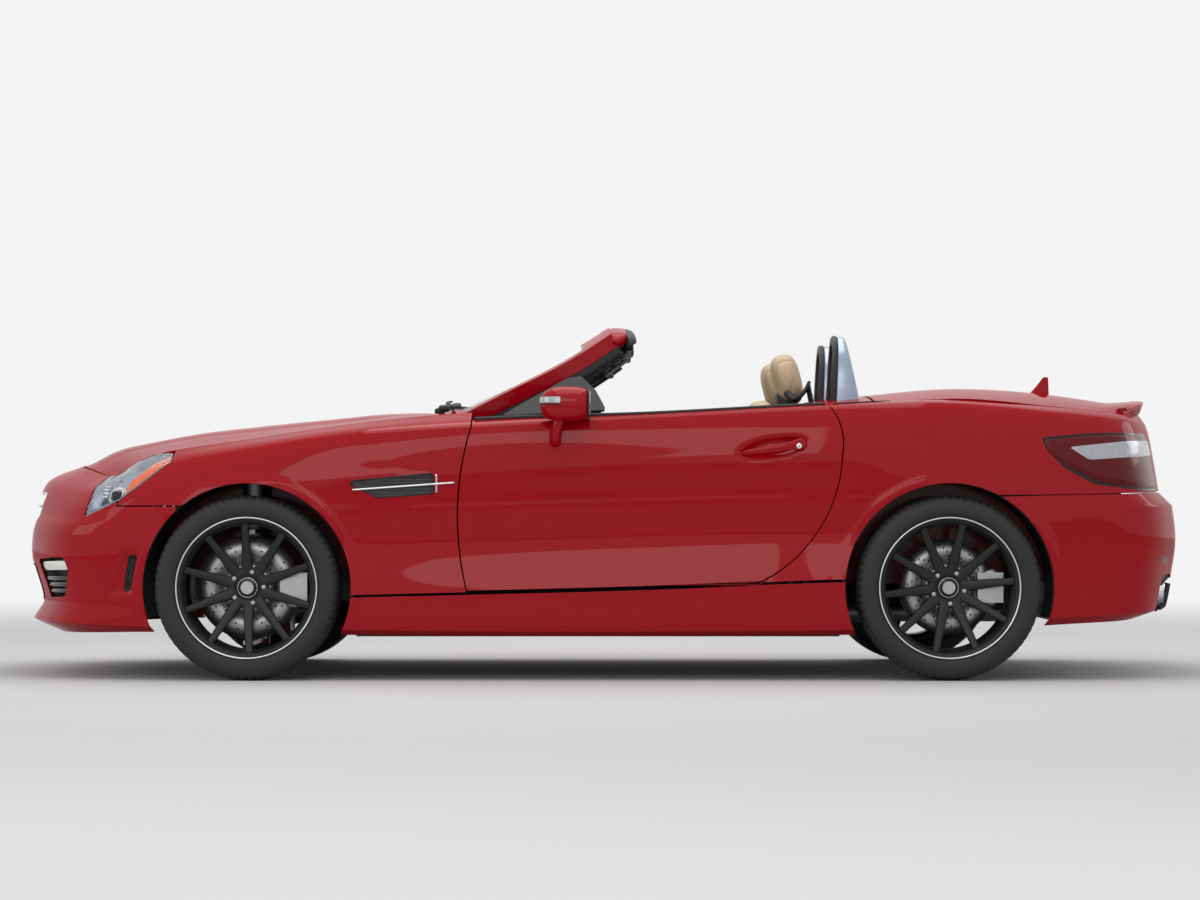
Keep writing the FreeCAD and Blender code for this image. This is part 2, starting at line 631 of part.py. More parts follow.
def tube(name, base, direction, radius, length):
    """A round bar. base is three expressions, direction a vector."""
    obj = doc.addObject("Part::Cylinder", name)
    bind(obj, "Radius", radius)
    bind(obj, "Height", length)
    obj.Placement.Rotation = Rotation(Vector(0, 0, 1), direction)
    place(obj, *base)
    return obj


def join(name, objects):
    """One solid from several."""
    obj = doc.addObject("Part::MultiFuse", name)
    obj.Shapes = objects
    obj.Refine = True
    return obj


def group(name, objects):
    """Solids that stay apart."""
    obj = doc.addObject("Part::Compound", name)
    obj.Links = objects
    return obj


def subtract(name, base, tool):
    obj = doc.addObject("Part::Cut", name)
    obj.Base = base
    obj.Tool = tool
    return obj


def named(name):
    """A sub-part that is already made."""
    return next(part for part in PARTS if part.Label == name)


def sub_part(name, obj):
    """Marks an object as a sub-part, with its own label."""
    obj.Label = name
    PARTS.append(obj)
    return obj


AXIS_ROLES = {"x": "X_Axis", "y": "Y_Axis", "z": "Z_Axis", "side": "XZ_Plane", "plan": "XY_Plane", "front": "YZ_Plane"}


def origin_part(body, word):
    role = AXIS_ROLES[word]
    return next(part for part in body.Origin.OriginFeatures if part.Role == role)


def draw(body, plane, points, offset=None):
    """A closed sketch with straight sides. Each point is a pair of expressions."""
    sketch = body.newObject("Sketcher::SketchObject", f"{body.Name}_sketch")
    sketch.AttachmentSupport = (origin_part(body, plane), [""])
    sketch.MapMode = "FlatFace"
    if offset:
        bind(sketch, "AttachmentOffset.Base.z", offset)
    spots = [Vector(size(u), size(v), 0) for u, v in points]
    count = len(points)
    for i in range(count):
        sketch.addGeometry(Part.LineSegment(spots[i], spots[(i + 1) % count]), False)
    for i in range(count):
        sketch.addConstraint(Sketcher.Constraint("Coincident", i, 2, (i + 1) % count, 1))
    for i, (u, v) in enumerate(points):
        for kind, expression in (("DistanceX", u), ("DistanceY", v)):
            number = sketch.addConstraint(Sketcher.Constraint(kind, -1, 1, i, 1, size(expression)))
            bind(sketch, f"Constraints[{number}]", expression)
    return sketch


def turned(body, points):
    """A solid of revolution about the wheel's axis. Points are (along the axis, radius)."""
    sketch = draw(body, "front", points)
    feature = body.newObject("PartDesign::Revolution", f"{body.Name}_turned")
    feature.Profile = sketch
    feature.ReferenceAxis = (origin_part(body, "y"), [""])
    feature.Angle = 360
    return feature


def padded(body, plane, points, length, midplane=False, offset=None):
    """A solid of a sketch and a length."""
    feature = body.newObject("PartDesign::Pad", f"{body.Name}_pad")
    feature.Profile = draw(body, plane, points, offset)
    bind(feature, "Length", length)
    feature.Midplane = midplane
    return feature


def repeat(body, feature, count):
    """Copies of a feature round the wheel's axis."""
    pattern = body.newObject("PartDesign::PolarPattern", f"{feature.Name}_round")
    pattern.Originals = [feature]
    pattern.Axis = (origin_part(body, "y"), [""])
    pattern.Angle = 360
    bind(pattern, "Occurrences", count)
    body.Tip = pattern
    return pattern


SIZES_OF_WHEELS = [
    # name, axle, track, tyre width, disc radius
    ("front_left", FRONT, "-front_track / 2", "front_tyre_width", "front_disc_radius"),
    ("front_right", FRONT, "front_track / 2", "front_tyre_width", "front_disc_radius"),
    ("rear_left", REAR, "-rear_track / 2", "rear_tyre_width", "rear_disc_radius"),
    ("rear_right", REAR, "rear_track / 2", "rear_tyre_width", "rear_disc_radius"),
]


def set_wheel(body, axle, track, name):
    """Puts a body at a wheel's centre. Its own -Y looks outboard."""
    if name.endswith("right"):
        body.Placement.Rotation = Rotation(Vector(0, 0, 1), 180)
    place(body, axle, track, "tyre_radius")


for name, axle, track, width, disc_radius in SIZES_OF_WHEELS:
    bead = f"{width} * 0.43"
    flange = "bead_radius + rim_flange"
    tyre = doc.addObject("PartDesign::Body", f"tyre_{name}")
    wall = "(tyre_radius - bead_radius)"
    turned(tyre, [
        (f"-{bead}", "bead_radius"), (f"-{bead}", flange), (f"-{width} / 2", f"bead_radius + {wall} * 0.55"), (f"-{width} * 0.475", f"bead_radius + {wall} * 0.82"),
        (f"-{width} * 0.40", "tyre_radius"), (f"{width} * 0.40", "tyre_radius"), (f"{width} * 0.475", f"bead_radius + {wall} * 0.82"),
        (f"{width} / 2", f"bead_radius + {wall} * 0.55"), (bead, flange), (bead, "bead_radius"), (f"{bead} - 14", "bead_radius"),
        (f"{width} / 2 - 14", f"bead_radius + {wall} * 0.55"), (f"{width} * 0.40", "tyre_radius - 16"), (f"-{width} * 0.40", "tyre_radius - 16"),
        (f"14 - {width} / 2", f"bead_radius + {wall} * 0.55"), (f"14 - {bead}", "bead_radius"),
    ])
    rim = doc.addObject("PartDesign::Body", f"rim_{name}")
    inside = "bead_radius - rim_wall"
    turned(rim, [
        (f"-{bead} - 8", flange), (f"-{bead}", flange), (f"-{bead}", "bead_radius"), (bead, "bead_radius"), (bead, flange),
        (f"{bead} + 8", flange), (f"{bead} + 8", inside), (f"-{bead} - 8", inside),
    ])
    doc.recompute()
    spoke = padded(rim, "front", [
        (f"-{bead} + 12", "hub_radius - 14"), ("-wheel_offset - 6", "hub_radius - 14"), (f"-{bead} + 36", f"{inside} + 3"),
        (f"-{bead} - 2", f"{inside} + 3"),
    ], "spoke_width", True)
    doc.recompute()
    repeat(rim, spoke, "spoke_count")
    doc.recompute()
    turned(rim, [
        (f"-{bead} + 8", "0"), (f"-{bead} + 8", "hub_radius * 0.8"), (f"-{bead} + 14", "hub_radius"), ("-wheel_offset", "hub_radius"),
        ("-wheel_offset", "stub_radius + running_clearance"), (f"-wheel_offset - 30", "stub_radius + running_clearance"), ("-wheel_offset - 30", "0"),
    ])
    disc = doc.addObject("PartDesign::Body", f"brake_disc_{name}")
    bore = "stub_radius + running_clearance"
    turned(disc, [
        ("-wheel_offset", bore), ("-wheel_offset", "hub_radius"), ("6 - disc_thickness", "hub_radius"), ("6 - disc_thickness", disc_radius),
        ("6", disc_radius), ("6", "hub_radius - 14"), ("-wheel_offset + 10", "hub_radius - 14"), ("-wheel_offset + 10", bore),
    ])
    for body in (tyre, rim, disc):
        set_wheel(body, axle, track, name)
        sub_part(body.Name, body)

doc.recompute()

WINDSCREEN_SECTIONS = [
    # height, x at the sides, half width, how far the middle stands forward
    (895, -540, 698, 140), (985, -367, 674, 125), (1112, -120, 622, 100), (1209, 28, 573, 80), (1275, 118, 538, 66),
]


def windscreen_loft(ahead, depth):
    """The windscreen's curved slab through level sections, from the scuttle to the header."""
    wires = []
    for z, x, y, bow in WINDSCREEN_SECTIONS:
        x0 = x + ahead
        front = [Vector(x0, -y, z), Vector(x0 - bow, 0, z), Vector(x0, y, z)]
        back = [p + Vector(depth, 0, 0) for p in front]
        wires.append(Part.Wire([
            Part.Arc(*front).toShape(), Part.LineSegment(front[2], back[2]).toShape(),
            Part.Arc(*back[::-1]).toShape(), Part.LineSegment(back[0], front[0]).toShape(),
        ]))
    return Part.makeLoft(wires, True, False)


WINDSCREEN_OUTER = [(-900, 900), (-900, 1150), (-562, 1216), ((0, 1260), (562, 1216)), (900, 1150), (900, 900), ((0, 924), (-900, 900))]
WINDSCREEN_OPENING = [(-636, 940), (-530, 1164), ((0, 1196), (530, 1164)), (636, 940), ((0, 954), (-636, 940))]
opening = front_prism(WINDSCREEN_OPENING, DOOR_X - 500, DOOR_X + 900)
slab = windscreen_loft(0, 118).common(front_prism(WINDSCREEN_OUTER, DOOR_X - 500, DOOR_X + 900))
keep("windscreen_frame", slab.cut(opening))
keep("windscreen_glass", windscreen_loft(22, 11).common(opening))


def mirror(side):
    """A door mirror on its arm."""
    shell = Part.makeSphere(1)
    stretch = FreeCAD.Matrix()
    stretch.A11, stretch.A22, stretch.A33 = 96, 82, 64
    shell = shell.transformGeometry(stretch)
    shell.translate(Vector(-112, side * 918, 953))
    shell = shell.cut(block(-40, 20, side * 800, side * 1100, 800, 1100))
    arm = front_prism([(side * 835, 884), (side * 862, 884), (side * 900, 930), (side * 870, 940)], -190, -110)
    return shell.fuse(arm).cut(DOORS[side])


for name, side in SIDES:
    keep(f"mirror_{name}", mirror(side))

# Floor with tunnel, inner sills, bulkheads and pillars.
FLOOR_LEVEL = "(floor_height + floor_thickness)"
slab = bar("floor_slab", (CABIN_FRONT, f"{REAR} - 380"), ("-690", "690"), ("floor_height", FLOOR_LEVEL))
tunnel = bar("tunnel_outer", (CABIN_FRONT, CABIN_REAR), ("-tunnel_width / 2", "tunnel_width / 2"), ("floor_height", f"{FLOOR_LEVEL} + tunnel_height"))
hollow = bar("tunnel_inner", (f"{CABIN_FRONT} - 50", f"{REAR}"), ("8 - tunnel_width / 2", "tunnel_width / 2 - 8"), ("floor_height - 10", f"{FLOOR_LEVEL} + tunnel_height - 8"))
firewall = bar("firewall", (f"{CABIN_FRONT} - 24", CABIN_FRONT), ("-700", "700"), ("floor_height", "850"))
bulkhead = bar("bulkhead", (CABIN_REAR, f"{CABIN_REAR} + 20"), ("-700", "700"), ("floor_height", "900"))
cowl_box = bar("cowl_box", (CABIN_FRONT, f"{DOOR} + 60"), ("-700", "700"), ("826", "850"))
pieces = [
    slab, tunnel, firewall, bulkhead, cowl_box,
    bar("scuttle_rest", (f"{DOOR} - 90", f"{DOOR} - 60"), ("-200", "200"), ("850", "918")),
]
pieces += both_sides("inner_sill", (f"{CABIN_FRONT} - 24", f"{REAR} - 376"), ("680", "800"), ("floor_height", "330"))
pieces += both_sides("sill_flange", (f"{CABIN_FRONT} + 20", f"{REAR} - 420"), ("790", "876"), ("200", "290"))
pieces += both_sides("screen_post", (f"{DOOR} - 60", f"{DOOR} - 20"), ("640", "690"), ("840", "914"))
pieces += both_sides("hoop_post", (CABIN_REAR, f"{REAR} - 376"), ("seat_offset - 30", "seat_offset + 40"), ("860", "966"))
for level, low, high in (("low", "450", "520"), ("high", "690", "760")):
    pieces += both_sides(f"door_hinge_{level}", (f"{DOOR} - 60", f"{DOOR} + 30 - seat_gap"), ("716", "790"), (low, high))
pieces += both_sides("hinge_pillar", (f"{CABIN_FRONT} - 24", f"{DOOR} - 20"), ("700", "724"), ("floor_height", "850"))
pieces += both_sides("latch_pillar", (f"{DOOR} + door_length - 28", f"{REAR} - 376"), ("700", "800"), ("300", "900"))
pieces += both_sides("rear_quarter", (CABIN_REAR, f"{REAR} - 376"), ("690", "702"), ("floor_height", "900"))
tools = [hollow] + [named(part) for part in ("side_sills", "windscreen_frame", "scuttle", "rear_deck")]
sub_part("floor_pan", subtract("floor_pan", join("floor_solid", pieces), group("floor_tools", tools)))

bonnet_space = doc.addObject("Part::Feature", "bonnet_space")
bonnet_space.Shape = sheet_loft(FRONT_SHEET, LID + size("seat_gap") + 80, -80)
boot_space = doc.addObject("Part::Feature", "boot_space")
boot_space.Shape = sheet_loft(REAR_SHEET, LID + size("seat_gap") + 80, -80)

# Rails, cross members and wheelhouse walls under the bonnet.
pieces = both_sides("front_rail", (f"{FRONT} - 735", f"{CABIN_FRONT} - 24"), ("400", "462"), ("380", "480"))
pieces += both_sides("wheelhouse", (f"{FRONT} - 300", f"{CABIN_FRONT} - 24"), ("462", "474"), ("380", "760"))
pieces += both_sides("tower", (f"{FRONT} - 75", f"{FRONT} + 75"), ("470", "700"), ("722", "760"))
pieces += both_sides("upper_rail", (f"{FRONT} - 335", f"{CABIN_FRONT} - 24"), ("640", "724"), ("700", "740"))
pieces += both_sides("wing_post", (f"{FRONT} - 60", f"{FRONT} + 60"), ("722", "745"), ("700", "830"))
pieces += both_sides("lamp_bracket", (f"{FRONT} - 390", f"{FRONT} - 340"), ("640", "760"), ("700", "728"))
pieces += both_sides("mount_post", (f"{FRONT} - 40", f"{FRONT} + 40"), ("400", "474"), ("110", "400"))
pieces += both_sides("radiator_post", (f"{FRONT} - 680", f"{FRONT} - 490"), ("400", "430"), ("600", "640"))
pieces += both_sides("carrier_post", (f"{FRONT} - 530", f"{FRONT} - 490"), ("400", "430"), ("480", "700"))
pieces += both_sides("bonnet_hinge", (f"{CABIN_FRONT} + 226", f"{CABIN_FRONT} + 256"), ("625", "655"), ("850", "915"))
pieces += [
    bar("bumper_beam", (f"{FRONT} - 735", f"{FRONT} - 700"), ("-440", "440"), ("405", "520")),
    bar("bumper_mount", (f"{FRONT} - 837", f"{FRONT} - 735"), ("-160", "160"), ("410", "437")),
    bar("radiator", (f"{FRONT} - 680", f"{FRONT} - 640"), ("-430", "430"), ("240", "640")),
    bar("lock_carrier", (f"{FRONT} - 530", f"{FRONT} - 490"), ("-430", "430"), ("690", "730")),
    bar("cross_member", (f"{FRONT} - 60", f"{FRONT} + 60"), ("-470", "470"), ("190", "260")),
    bar("hinge_shelf", (f"{CABIN_FRONT} + 200", f"{CABIN_FRONT} + 260"), ("-655", "655"), ("850", "856")),
]
tools = [named(part) for part in ("front_bumper", "front_fenders", "headlamps")] + [bonnet_space]
front_solid = subtract("front_structure", join("front_solid", pieces), group("front_tools", tools))
sub_part("front_structure", front_solid)

# Boot tub and rear rails.
tub = bar("tub_outer", (f"{CABIN_REAR} + 20", f"{REAR} + 640"), ("-560", "560"), ("420", "860"))
tub_inside = bar("tub_inner", (f"{CABIN_REAR} + 30", f"{REAR} + 628"), ("-550", "550"), ("432", "1000"))
tub = subtract("tub", tub, tub_inside)
pieces = [tub] + both_sides("rear_rail", (f"{CABIN_REAR} + 20", f"{REAR} + 740"), ("440", "500"), ("330", "420"))
pieces += both_sides("rear_channel", (f"{REAR} - 370", f"{REAR} + 375"), ("558", "700"), ("840", "860"))
pieces += both_sides("rear_wheelhouse", (f"{REAR} - 300", f"{REAR} + 300"), ("588", "600"), ("330", "850"))
pieces += both_sides("quarter_bracket", (f"{REAR} - 60", f"{REAR} + 60"), ("690", "792"), ("840", "860"))
pieces += both_sides("quarter_post", (f"{REAR} - 60", f"{REAR} + 60"), ("772", "792"), ("850", "966"))
pieces += both_sides("lamp_bracket_rear", (f"{REAR} + 500", f"{REAR} + 560"), ("555", "812"), ("740", "760"))
pieces += both_sides("boot_hinge", ("boot_lid_front + 8", "boot_lid_front + 40"), ("600", "632"), ("850", "1000"))
pieces += [
    bar("rear_beam", (f"{REAR} + 740", f"{REAR} + 775"), ("-500", "500"), ("370", "500")),
    bar("rear_mount", (f"{REAR} + 770", f"{REAR} + 859"), ("-200", "200"), ("440", "500")),
    bar("rear_cross", (f"{REAR} - 60", f"{REAR} + 60"), ("-500", "500"), ("250", "334")),
]
tools = [named(part) for part in ("rear_bumper", "quarter_panels", "tail_lamps")] + [boot_space]
sub_part("rear_structure", subtract("rear_structure", join("rear_solid", pieces), group("rear_tools", tools)))

# Arch liners.
liners = []
for name, axle, inner, outer in (("front", FRONT, "474", "836"), ("rear", REAR, "600", "840")):
    for word, sign in (("left", "-"), ("right", "")):
        y0 = inner if sign == "" else f"-{outer}"
        drums = []
        for part, extra in (("outer", " + liner_thickness"), ("inner", "")):
            drum = doc.addObject("Part::Cylinder", f"liner_{name}_{word}_{part}")
            bind(drum, "Radius", f"arch_radius{extra}")
            bind(drum, "Height", f"{outer} - {inner}")
            drum.Placement.Rotation = Rotation(Vector(1, 0, 0), -90)
            place(drum, axle, y0, "tyre_radius")
            drums.append(drum)
        below = bar(f"liner_{name}_{word}_below", (f"{axle} - 500", f"{axle} + 500"), (f"{y0} - 1", f"{y0} + {outer} - {inner} + 1"), ("-100", "215"))
        shell = subtract(f"liner_{name}_{word}_shell", drums[0], drums[1])
        liners.append(subtract(f"liner_{name}_{word}", shell, below))
LINERS = group("liner_drums", liners)

# Engine, exhaust, dashboard, console and seats.
engine = doc.addObject("PartDesign::Body", "engine")
padded(engine, "side", [
    (f"{FRONT} - 250", "260"), (f"{FRONT} - 250", "640"), (f"{FRONT} - 130", "780"), (f"{FRONT} + 320", "780"), (f"{FRONT} + 345", "420"), (f"{FRONT} + 345", "260"),
], "520", True)
sub_part("engine", engine)

pipes = [
    tube("exhaust_pipe", (f"{FRONT} + 376", "0", "210"), Vector(1, 0, 0), "34", f"wheel_base + 20"),
    bar("silencer", (f"{REAR} + 380", f"{REAR} + 640"), ("-548", "548"), ("200", "330")),
    tube("exhaust_tip_left", (f"{REAR} + 560", "-tip_offset", "tip_height"), Vector(1, 0, 0), "tip_radius", "225"),
    tube("exhaust_tip_right", (f"{REAR} + 560", "tip_offset", "tip_height"), Vector(1, 0, 0), "tip_radius", "225"),
]
sub_part("exhaust", join("exhaust", pipes))

panel = doc.addObject("PartDesign::Body", "dashboard_panel")
padded(panel, "side", [
    (f"{DOOR} - 240", "826"), (f"{DOOR} - 240", "640"), (f"{DOOR} + 120", "600"), (f"{DOOR} + 190", "700"), (f"{DOOR} + 200", "850"),
    (f"{DOOR} + 170", "890"), (f"{DOOR} + 62", "890"), (f"{DOOR} + 62", "826"),
], "1380", True)

console = doc.addObject("PartDesign::Body", "centre_console")
padded(console, "side", [
    (f"{DOOR} + 60", "364"), (f"{DOOR} + 60", "598"), (f"{DOOR} + 150", "598"), (f"{DOOR} + 330", "480"), (f"{DOOR} + 640", "480"),
    (f"{DOOR} + 660", "520"), (f"{DOOR} + 960", "520"), (f"{DOOR} + 980", "364"),
], "210", True)
sub_part("centre_console", console)

seats = []
for name, sign in (("left", "-"), ("right", "")):
    seat = doc.addObject("PartDesign::Body", f"seat_{name}")
    padded(seat, "side", [
        (f"{DOOR} + 520", FLOOR_LEVEL), (f"{DOOR} + 500", "400"), (f"{DOOR} + 570", "440"), (f"{DOOR} + 980", "370"), (f"{DOOR} + 1064", "970"),
        (f"{DOOR} + 1098", "1085"), (f"{DOOR} + 1150", "1154"), (f"{DOOR} + 1188", "1130"), (f"{DOOR} + 1190", "1040"), (f"{DOOR} + 1160", "800"),
        (f"{DOOR} + 1110", "300"), (f"{DOOR} + 1060", FLOOR_LEVEL),
    ], "seat_width", True)
    place(seat, "0", f"{sign}seat_offset", "0")
    seats.append(seat)
sub_part("seats", group("seats", seats))

hoops = []
for name, sign in (("left", "-"), ("right", "")):
    hoop = doc.addObject("PartDesign::Body", f"hoop_{name}")
    padded(hoop, "front", [
        ("-hoop_width / 2", "hoop_base"), ("-hoop_width / 2", "hoop_height - 95"), ("-hoop_width / 2 + 38", "hoop_height - 22"), ("-hoop_width / 2 + 85", "hoop_height"),
        ("hoop_width / 2 - 85", "hoop_height"), ("hoop_width / 2 - 38", "hoop_height - 22"), ("hoop_width / 2", "hoop_height - 95"), ("hoop_width / 2", "hoop_base"),
        ("hoop_width / 2 - 34", "hoop_base"), ("hoop_width / 2 - 34", "hoop_height - 100"), ("hoop_width / 2 - 62", "hoop_height - 50"),
        ("-hoop_width / 2 + 62", "hoop_height - 50"), ("-hoop_width / 2 + 34", "hoop_height - 100"), ("-hoop_width / 2 + 34", "hoop_base"),
    ], "70", False)
    place(hoop, f"{DOOR} + 1292", f"{sign}seat_offset", "0")
    hoops.append(hoop)
sub_part("roll_hoops", subtract("roll_hoops", group("hoops", hoops), named("rear_deck")))

# Steering wheel on a short length of column. Its own +Z looks at the driver.
STEERING_TILT = 66
WHEEL_X, WHEEL_Z = f"{DOOR} + 400", "880"
hoop = doc.addObject("Part::Torus", "steering_rim")
bind(hoop, "Radius1", "steering_wheel_radius")
bind(hoop, "Radius2", "steering_rim_radius")
boss = tube("steering_boss", ("0", "0", "-30"), Vector(0, 0, 1), "58", "42")
column = tube("steering_shaft", ("0", "0", "-190"), Vector(0, 0, 1), "20", "170")
spokes = [
    bar("steering_spokes", ("-16", "16"), ("-steering_wheel_radius", "steering_wheel_radius"), ("-16", "-2")),
    bar("steering_spoke_low", ("0", "steering_wheel_radius"), ("-22", "22"), ("-16", "-2")),
]
steering = join("steering_wheel", [hoop, boss, column] + spokes)
steering.Placement.Rotation = Rotation(Vector(0, 1, 0), STEERING_TILT)
place(steering, WHEEL_X, "-seat_offset", WHEEL_Z)
sub_part("steering_wheel", steering)

housing = tube("column_housing", ("0", "0", "-330"), Vector(0, 0, 1), "40", "230")
bore = tube("column_bore", ("0", "0", "-200"), Vector(0, 0, 1), "20 + running_clearance", "120")
sleeve = subtract("steering_column", housing, bore)
sleeve.Placement.Rotation = Rotation(Vector(0, 1, 0), STEERING_TILT)
place(sleeve, WHEEL_X, "-seat_offset", WHEEL_Z)
sub_part("dashboard", join("dashboard", [panel, sleeve]))

# Knuckles with stub axle and caliper, in the wheel's own frame, -Y outboard.
KINGPIN = "kingpin_offset"


def knuckle_pieces(name, disc_radius):
    """Stub axle, upright and caliper. The caliper is behind the axle on both sides."""
    reach = f"({disc_radius} + 6)"

    def behind(near, far):
        return (near, far) if name.endswith("left") else (f"-({far})", f"-({near})")

    stub = tube(f"{name}_stub", ("0", "-wheel_offset - 26", "0"), Vector(0, 1, 0), "stub_radius", "wheel_offset + 26 + 60")
    upright = bar(f"{name}_upright", ("-34", "34"), ("14", "60"), ("-118", "118"))
    jaws = bar(f"{name}_caliper", behind(f"{disc_radius} * 0.62", f"{reach} + 20"), ("-44", "26"), ("-52", "52"))
    throat = bar(f"{name}_throat", behind("0", reach), ("6 - disc_thickness - 5", "11"), ("-60", "60"))
    caliper = subtract(f"{name}_caliper_cut", jaws, throat)
    bracket = bar(f"{name}_bracket", behind("30", f"{disc_radius} * 0.7"), ("14", "26"), ("-40", "40"))
    return [stub, upright, caliper, bracket]


for name, axle, track, width, disc_radius in SIZES_OF_WHEELS:
    pieces = knuckle_pieces(name, disc_radius)
    if name.startswith("front"):
        pieces += [
            tube(f"{name}_kingpin", ("0", KINGPIN, "-200"), Vector(0, 0, 1), "11", "400"),
        ]
    sub_name = name.replace("front", "knuckle").replace("rear_", "rear_upright_")
    knuckle = join(sub_name, pieces)
    set_wheel(knuckle, axle, track, name)
    sub_part(sub_name, knuckle)

# Wishbones, springs and drive shafts.
front_arms = []
rear_arms = []
for word, sign in (("left", "-"), ("right", "")):
    def span(inner, outer):
        return (f"-({outer})", f"-({inner})") if sign == "-" else (inner, outer)
    king = f"front_track / 2 - {KINGPIN}"
    for level, low, high in (("upper", "186", "200"), ("lower", "-200", "-186")):
        z = (f"tyre_radius + {low}", f"tyre_radius + {high}")
        arm = bar(f"front_arm_{level}_{word}", (f"{FRONT} - 20", f"{FRONT} + 20"), span("474", f"{king} + 20"), z)
        y = f"-({king})" if sign == "-" else king
        eye = tube(f"front_eye_{level}_{word}", (FRONT, y, f"tyre_radius + {low} - 2"), Vector(0, 0, 1), "11 + running_clearance", "20")
        front_arms.append(subtract(f"front_arm_cut_{level}_{word}", arm, eye))
    spring_y = "-576" if sign == "-" else "576"
    front_arms.append(tube(f"front_spring_{word}", (FRONT, spring_y, "tyre_radius - 186"), Vector(0, 0, 1), "42", "722 - tyre_radius + 186"))
    hub_y = "rear_track / 2 - 60"
    for level, inner, low, high in (("upper", "600", "80", "100"), ("lower", "500", "-65", "-45")):
        z = (f"tyre_radius + {low}", f"tyre_radius + {high}")
        rear_arms.append(bar(f"rear_arm_{level}_{word}", (f"{REAR} - 30", f"{REAR} + 30"), span(inner, hub_y), z))
for name in ("rear_upright_left", "rear_upright_right"):
    rear_arms.append(next(part for part in PARTS if part.Label == name))
PARTS = [part for part in PARTS if not part.Label.startswith("rear_upright")]
sub_part("front_suspension", join("front_suspension", front_arms))
springs = [arm for arm in front_arms if arm.Name.startswith("front_spring")]
sub_part("wheel_arch_liners", subtract("wheel_arch_liners", LINERS, group("spring_holes", springs)))
sub_part("rear_suspension", join("rear_suspension", rear_arms))

doc.recompute()

problems = []
for item in doc.Objects:
    if "Invalid" in item.State or "Error" in item.State:
        problems.append(item.Label)
for part in PARTS:
    if part.Shape.isNull() or not part.Shape.isValid() or not part.Shape.Solids:
        problems.append(part.Label)
if problems:
    raise RuntimeError("not built: " + ", ".join(sorted(set(problems))))

os.makedirs("parts", exist_ok=True)
for part in PARTS:
    box = part.Shape.BoundBox
    print(part.Label, len(part.Shape.Solids), "solids", round(part.Shape.Volume / 1e6, 2), "litres",
          [round(v) for v in (box.XMin, box.XMax, box.YMin, box.YMax, box.ZMin, box.ZMax)])
    part.Shape.exportStep(f"parts/{part.Label}.step")
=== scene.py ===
import math
import bmesh
import bpy
import numpy as np
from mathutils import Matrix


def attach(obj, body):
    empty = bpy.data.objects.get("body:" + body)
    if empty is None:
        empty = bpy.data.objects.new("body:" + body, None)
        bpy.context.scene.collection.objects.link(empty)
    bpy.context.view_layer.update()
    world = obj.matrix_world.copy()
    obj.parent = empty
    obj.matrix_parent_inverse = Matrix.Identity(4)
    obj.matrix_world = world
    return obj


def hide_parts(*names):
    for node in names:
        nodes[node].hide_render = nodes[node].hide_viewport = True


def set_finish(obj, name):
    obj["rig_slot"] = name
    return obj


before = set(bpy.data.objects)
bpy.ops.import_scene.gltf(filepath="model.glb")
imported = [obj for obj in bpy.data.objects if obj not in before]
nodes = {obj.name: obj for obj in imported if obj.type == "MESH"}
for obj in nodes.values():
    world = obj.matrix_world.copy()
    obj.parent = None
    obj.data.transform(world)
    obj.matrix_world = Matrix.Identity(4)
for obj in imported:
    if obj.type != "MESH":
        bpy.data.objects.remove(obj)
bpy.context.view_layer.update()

# An open red roadster with a beige cabin. Metres, nose towards -X, left side towards -Y, ground at z = 0.
sides = (("left", -1), ("right", 1))

# the frame's slot that each finish stands for
slotOf = dict(redPaint="body_paint", structurePaint="structure_paint", blackPlastic="black_plastic", glossBlack="gloss_black",
    rubber="tyre_rubber", rimBlack="wheel_alloy", chrome="bright_chrome", discIron="disc_iron", castAlloy="cast_alloy",
    glass="window_glass", lampGlass="lamp_glass", tailRed="tail_lamp_red", beigeLeather="beige_leather",
    blackLeather="black_leather", hoopSilver="hoop_silver")


def show(name, data):
    # a new thing of the scene from a mesh or a lamp
    piece = bpy.data.objects.new(name, data)
    bpy.context.scene.collection.objects.link(piece)
    return piece


def link(mesh, name, material, body, replaced=()):
    piece = show(name, mesh)
    if material.name in slotOf:
        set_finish(piece, slotOf[material.name])
    mesh.materials.append(material)
    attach(piece, body)
    if replaced:
        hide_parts(*replaced)
    return piece


def readPoints(mesh, what="co"):
    # positions or normals of all vertices, one row each
    found = np.empty(len(mesh.vertices) * 3)
    mesh.vertices.foreach_get(what, found)
    return found.reshape(-1, 3)


def gridFaces(rows, columns, closeRows=False, closeColumns=False):
    # quads between neighbours of a rows x columns grid; a closed direction joins its last to its first
    i = np.arange(rows if closeRows else rows - 1)[:, None]
    j = np.arange(columns if closeColumns else columns - 1)
    here, ahead = i * columns, (i + 1) % rows * columns
    beside = (j + 1) % columns
    return np.stack([here + j, ahead + j, ahead + beside, here + beside], -1).reshape(-1, 4)


def meshFrom(name, points, faces, merge=0.0, outward=False):
    # a face whose last two corners are one vertex is a triangle; outward turns a closed form's faces out
    mesh = bpy.data.meshes.new(name)
    faces = np.asarray(faces)
    short = faces[:, 2] == faces[:, 3]
    mesh.from_pydata(np.asarray(points, float).reshape(-1, 3).tolist(), [], faces[~short].tolist() + faces[short][:, :3].tolist())
    if merge or outward:
        work = bmesh.new()
        work.from_mesh(mesh)
        if merge:
            bmesh.ops.remove_doubles(work, verts=work.verts, dist=merge)
            bmesh.ops.dissolve_degenerate(work, edges=work.edges, dist=1e-5)
        if outward:
            bmesh.ops.recalc_face_normals(work, faces=work.faces)
        work.to_mesh(mesh)
        work.free()
    mesh.polygons.foreach_set("use_smooth", np.full(len(mesh.polygons), True))
    mesh.validate()
    return mesh


def meshPiece(name, points, faces, material, body="car_body", replaced=(), merge=0.0, outward=False):
    return link(meshFrom(name, points, faces, merge, outward), name, material, body, replaced)


